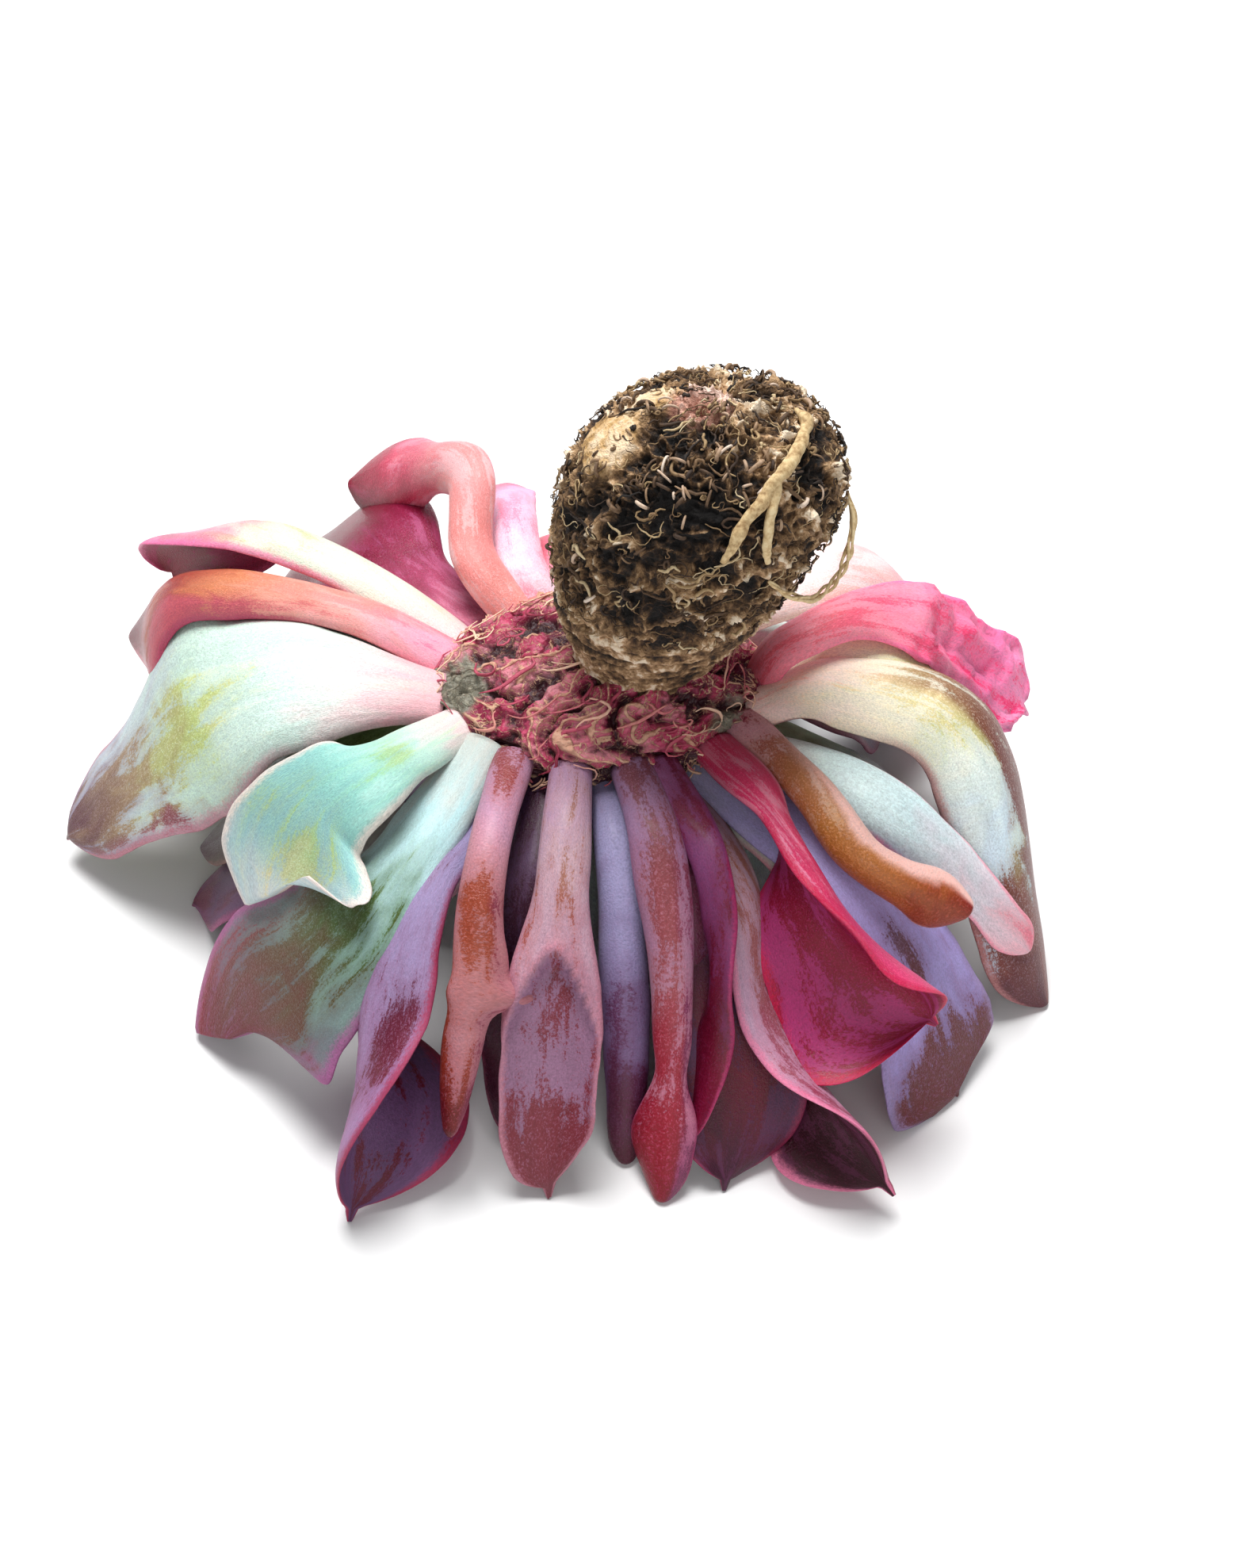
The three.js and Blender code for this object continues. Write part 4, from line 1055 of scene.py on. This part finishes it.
BALL_MIDDLE = (14, -3, 78)
BALL_TOP = (14, -5, 94.5)
BALL_CORE = (13, -19, 85)
BALL_BARE = [(1.5, -7, 89.5, 9, 1.0), (8, -2, 94, 6, 0.7)]      # a bulge and a spot without matted roots
BALL_TUFTS = [                                                  # pale tufts of root
    (17, -3, 93, 5, 1), (14, -10, 91.5, 4, 1), (15.5, -20, 83, 3.5, 1), (7, -18, 72, 3, 1),
    (31, -8, 86, 6, 1), (31, -10, 78, 4, 1), (11, -20, 78, 3, 1), (24, -17, 84, 3, 1), (2, -14, 80, 3, 1),
]


def stem_relief(place, share, azimuth):
    """Bark rings round the neck."""
    rings = fractal(place * (0.07, 0.07, 1.1), 3, 41)
    crumbs = fractal(place * 0.9, 3, 51)
    height = 0.55 * rings + 0.3 * crumbs
    none = np.zeros(share.shape)
    # cavity: lower in the grooves between the bark rings, which the material paints darker as painted shade
    return height, {"cavity": np.clip(0.5 + height * 0.6, 0, 1), "bare": none, "callus": none}


def ball_relief(place, share, azimuth):
    """Matted roots and crumbs, a bare bulge, a callus on top and a deep core at the front that the material
    paints dark as shade.
    """
    warp = place + 1.8 * np.stack([noise(place * 0.25, seed) for seed in (61, 62, 63)], axis=-1)
    ropes = 1 - np.abs(noise(warp * (0.3, 0.3, 0.4), 71))
    cords = 1 - np.abs(noise(warp * 0.62, 75))
    clumps = fractal(place * 0.32, 3, 81)
    crumbs = 1 - 1.6 * np.abs(noise(place * 1.0, 91)) + 0.5 * noise(place * 2.1, 95)
    bare = spotted(place, BALL_BARE)
    callus = near(place, BALL_TOP, 7)
    core = near(place, BALL_CORE, 11)
    low = smooth((66 - place[..., 2]) / 6)
    rough = (1 - 0.85 * smooth(bare * 1.6)) * (1 - 0.55 * low)
    height = rough * (1.3 * ropes**5 + 0.8 * cords**5 + 0.9 * clumps + 0.45 * crumbs - 1.9)
    height = height + 0.5 * smooth(bare) - 1.8 * smooth(core * 1.5) * (0.5 + 0.5 * clumps)
    ring = np.linalg.norm(place - np.array(BALL_TOP), axis=-1)
    height = height + callus * (0.9 * np.cos(ring * 2.2))
    # cavity: lower in the hollows and the core, which the material paints darker as painted shade, and
    # higher on the pale tufts of root
    cavity = np.clip(0.74 + 0.36 * height + 0.5 * spotted(place, BALL_TUFTS), 0, 1.5)
    attributes = {"cavity": cavity, "bare": np.clip(bare + callus, 0, 1), "callus": callus}
    return height * smooth(share / 0.06), attributes


def root_material(name):
    """Near black in the hollows as painted shade, through brown and tan to pale dry root on the ridges."""
    nodes = Nodes(name)
    where = nodes.object_place()
    broad = nodes.noise(where, 110, 3, 0.5)
    clumps = nodes.noise(where, 420, 4, 0.65, 0.4)
    fine = nodes.noise(where, 1500, 3, 0.65)
    # the level falls with cavity, so the hollows go towards near black as painted shade
    level = nodes.swing(clumps, 1.9, nodes.attribute("cavity"))
    level = nodes.swing(broad, 1.3, level, middle=0.52)
    level = nodes.swing(fine, 0.6, level, clamp=True)
    crust = nodes.ramp(level, "#0c0705 #2a1c11 #573f28 #8c6c4a #c09c74 #f4e0c4")
    smooth_root = nodes.ramp(level, "#3c2a1a #86643c #bc945c #d8b484 #ecd0ac")
    colour = nodes.mix(nodes.step(nodes.attribute("bare"), 0.25, 0.6), crust, smooth_root)
    healed = nodes.ramp(level, "#8c5c4c #d4a08c #f4d4c4")
    colour = nodes.mix(nodes.step(nodes.attribute("callus"), 0.15, 0.45), colour, healed)
    nodes.shade(
        Base_Color=colour,
        Roughness=0.85,
        Normal=nodes.bump(nodes.times_plus(clumps, 1.6, fine), 0.9, 0.6),
    )
    return nodes.material


def ball_fibres(rng):
    """Fine dry roots matted over the ball, lying close to it."""
    count, steps = 800, 11
    start = (rng.uniform(0.1, 0.97, count), rng.uniform(-np.pi, np.pi, count))
    heading = rng.uniform(-np.pi, np.pi, count)
    step_length = rng.uniform(0.18, 0.6, count)
    spots = rng.uniform(0, 50, (count, 1, 3)) + np.linspace(0, 2.5, steps)[:, None]
    lift = 0.1 + 0.4 * fractal(spots, 2, 5)
    paths, out = wander_paths(rng, BALL_PROFILE, count, steps, start, heading, step_length, 0.45, lift)
    size = tapered(count, steps, 0.07 + 0.22 * rng.uniform(0, 1, count) ** 2.5)
    tone = rng.beta(1.2, 1.5, count)
    material = strand_material("dry_fibres", "#140c07 #3c2818 #74583a #b0946a #dccaa4")
    name, slot = "root_ball_fibres", "root_ball"
    return strand_piece(name, paths, out, size, size, tone, material, sides=5)


def ball_stubs(rng):
    """Short curled root ends that stand out of the ball, thickest in the core."""
    count, steps = 150, 9
    share = rng.uniform(0.12, 0.95, count)
    azimuth = rng.uniform(-np.pi, np.pi, count)
    in_core = np.arange(count) < 40
    azimuth = np.where(in_core, np.radians(rng.normal(-100, 22, count)), azimuth)
    share = np.where(in_core, rng.normal(0.7, 0.1, count), share)
    place, out = turned_frame(BALL_PROFILE, np.clip(share, 0.05, 0.95), azimuth)
    heading = unit(np.cross(out, rng.normal(0, 1, (count, 3))))
    turn = rng.uniform(2.5, 5.5, count)[:, None, None] * np.linspace(0, 1, steps)[None, :, None]
    size = rng.uniform(0.4, 1.3, count)[:, None, None]
    rise = size * 0.7 * np.sin(turn)
    paths = place[:, None] + out[:, None] * (rise - 0.2) + heading[:, None] * size * (1 - np.cos(turn))
    radius = tapered(count, steps, rng.uniform(0.12, 0.32, count), 0.6)
    tone = rng.beta(1.2, 2.0, count)
    material = strand_material("root_stubs", "#2a1a10 #5c442e #947658 #c4a890 #e4d2c0")
    outward = np.repeat(out[:, None], steps, axis=1)
    name, slot = "root_ball_stubs", "root_ball"
    return strand_piece(name, paths, outward, radius, radius, tone, material, sides=7)


# Roots on the ball: the radius, how many cords it is twisted from, and azimuth, height and stand-off of
# each place it passes.
ROOTS = {
    "root_forked": [
        (1.0, 1, [
            (-4, 93, 0), (-18, 92.2, 0.2), (-46, 91.2, 0.3), (-68, 89, 0.3), (-80, 84.5, 0.3), (-84, 81, 0),
        ]),
        (0.7, 1, [(-60, 89.8, 0.2), (-66, 86.5, 0.5), (-68, 83, 0.4), (-66, 80, 0)]),
    ],
    "root_loop": [
        (0.6, 3, [
            (-6, 80, 0), (-14, 77, 2), (-28, 73, 3.6), (-42, 72, 3), (-56, 74.5, 1.2), (-62, 76, 0),
        ]),
    ],
}


def root_piece(name, branches, material):
    """A root that lies on the ball, its branches joined in one mesh."""
    steps = 60
    paths, outward, sizes = [], [], []
    for radius, cords, route in branches:
        places = []
        for azimuth, height, stand_off in route:
            share = share_at(BALL_PROFILE, height)
            place, out = turned_frame(BALL_PROFILE, np.array(share), np.array(math.radians(azimuth)))
            places.append(place + out * (radius * 0.5 + stand_off))
        path = at_shares(catmull_rom(places), np.linspace(0, 1, steps))
        knots = 1 + 0.3 * fractal(path * 0.7, 3, 7)
        path = path + 0.35 * np.stack([fractal(path * 0.3, 2, seed) for seed in (17, 27, 37)], axis=-1)
        out = unit(path - np.array(BALL_MIDDLE))
        across = unit(np.cross(np.gradient(path, axis=0), out))
        at = np.linspace(0, 1, steps)
        size = radius / cords**0.6 * knots * np.interp(at, [0, 0.08, 0.85, 1], [0.5, 1, 0.85, 0.5])
        for cord in range(cords):
            turn = 2 * np.pi * cord / cords + 14 * at + 2 * noise(path * 0.2, cord)
            swing = (radius * 0.8 * (cords > 1) * np.sin(np.pi * at) ** 0.5)[:, None]
            paths.append(path + swing * (np.cos(turn)[:, None] * across + np.sin(turn)[:, None] * out))
            outward.append(out)
            sizes.append(size)
    sizes = np.array(sizes)
    tone = np.linspace(0.55, 0.75, len(paths))
    paths, outward = np.array(paths), np.array(outward)
    flat = sizes * 0.8
    return strand_piece(name, paths, outward, sizes, flat, tone, material, sides=12, replaces=[name])


# ---------- Build the plant ----------

SHOWN_MESH = 96, 20             # rings along a leaf, and half the points round each
HIDDEN_MESH = 56, 12
HIDDEN_SHAPE = {"ripple": (0.9, 2), "spike": 1.2}


def build_leaves():
    rows = [(row, row[0], SHAPES.get(row[0], {}), *SHOWN_MESH) for row in LEAVES]
    rows += [(row, look, HIDDEN_SHAPE, *HIDDEN_MESH) for row, look in hidden_rows()]
    for seed, (row, look, shape, stations, half) in enumerate(rows):
        name, widths = row[0], row[6]
        patches = PATCHES.get(name, ())
        points, faces, uv, shares, length = leaf_skin(row, shape, patches, stations, half, seed)
        material = leaf_material(name, LOOKS[look], FLANKS.get(name), max(widths[:4]), length, seed)
        make_piece(name, points, faces, material, shares, uv, [name])


def build_crown_and_roots():
    rng = np.random.default_rng(7)
    scars = crown_material()
    turned_piece("crown", CROWN_PROFILE, crown_relief, rows=220, around=520, material=scars)
    crown_flakes(rng)
    crown_hairs(rng)
    bark = root_material("root_bark")
    turned_piece("stem", STEM_PROFILE, stem_relief, rows=80, around=300, material=bark)
    turned_piece("root_ball", BALL_PROFILE, ball_relief, rows=280, around=560, material=bark)
    ball_fibres(rng)
    ball_stubs(rng)
    pale = strand_material("pale_root", "#5c4428 #a8885c #d4b888 #e4d0a4", roughness=0.8, mottle=1.6)
    for name, branches in ROOTS.items():
        root_piece(name, branches, pale)


# ---------- Floor, light and camera ----------

FLOOR_REACH = 3.0
FLOOR_GAP = 0.2 * MM            # the floor lies this far under the leaf tips
LIGHT_TARGET = Vector((0, 0, 40 * MM))

ELEVATION = math.radians(44)    # how far the camera looks down
CAMERA_DISTANCE = 300 * MM      # from the crown's middle, along the line of sight
CROWN_HEIGHT = 42 * MM          # the height of the crown's middle
CROWN_LEFT = 4.3 * MM           # the crown's middle is this far left of the line of sight
CROWN_ABOVE = 16.1 * MM         # and this far above it


def floor_material():
    nodes = Nodes("pale_floor")
    where = nodes.object_place()
    mottle = nodes.noise(where, 30, 3, 0.5)
    nodes.shade(Base_Color=nodes.ramp(mottle, "#f2f2f2 #f6f6f5"), Roughness=0.9)
    return nodes.material


def add_floor():
    mesh = bpy.data.meshes.new("floor")
    corners = [(x * FLOOR_REACH, y * FLOOR_REACH, 0) for x, y in [(-1, -1), (1, -1), (1, 1), (-1, 1)]]
    mesh.from_pydata(corners, [], [(0, 1, 2, 3)])
    mesh.materials.append(floor_material())
    floor = add_object("floor", mesh)
    floor.location.z = -FLOOR_GAP


def add_facing(name, data, place, direction):
    """A light or camera at a place, which faces a direction."""
    thing = add_object(name, data)
    thing.location = place
    thing.rotation_mode = "QUATERNION"
    thing.rotation_quaternion = direction.to_track_quat("-Z", "Y")
    return thing


def add_light(name, place, size, power):
    """A square soft light that faces the plant."""
    data = bpy.data.lights.new(name, "AREA")
    data.size = size
    data.energy = power
    add_facing(name, data, place, LIGHT_TARGET - Vector(place))


def add_lights():
    add_light("sky_light", place=(-0.04, 0.2, 0.7), size=0.38, power=7.2)
    add_light("front_fill", place=(0.1, -0.7, 0.35), size=0.6, power=1.7)
    world = bpy.data.worlds.new("studio")
    world.use_nodes = True
    background = world.node_tree.nodes["Background"]
    background.inputs["Color"].default_value = (0.95, 0.97, 1.0, 1)
    background.inputs["Strength"].default_value = 0.25
    bpy.context.scene.world = world


def add_camera():
    """Looks along +Y and down at the crown."""
    forward = Vector((0, math.cos(ELEVATION), -math.sin(ELEVATION)))
    up = Vector((0, math.sin(ELEVATION), math.cos(ELEVATION)))
    crown = Vector((*(AXIS[:2] * MM), CROWN_HEIGHT))
    data = bpy.data.cameras.new("camera")
    data.sensor_width = 36
    data.lens = 45.5
    data.clip_start = 0.01
    aim = crown + Vector((CROWN_LEFT, 0, 0)) - up * CROWN_ABOVE
    place = aim - forward * CAMERA_DISTANCE
    bpy.context.scene.camera = add_facing("camera", data, place, forward)


build_leaves()
build_crown_and_roots()
add_floor()
add_lights()
add_camera()
bpy.context.scene.view_settings.view_transform = "Standard"
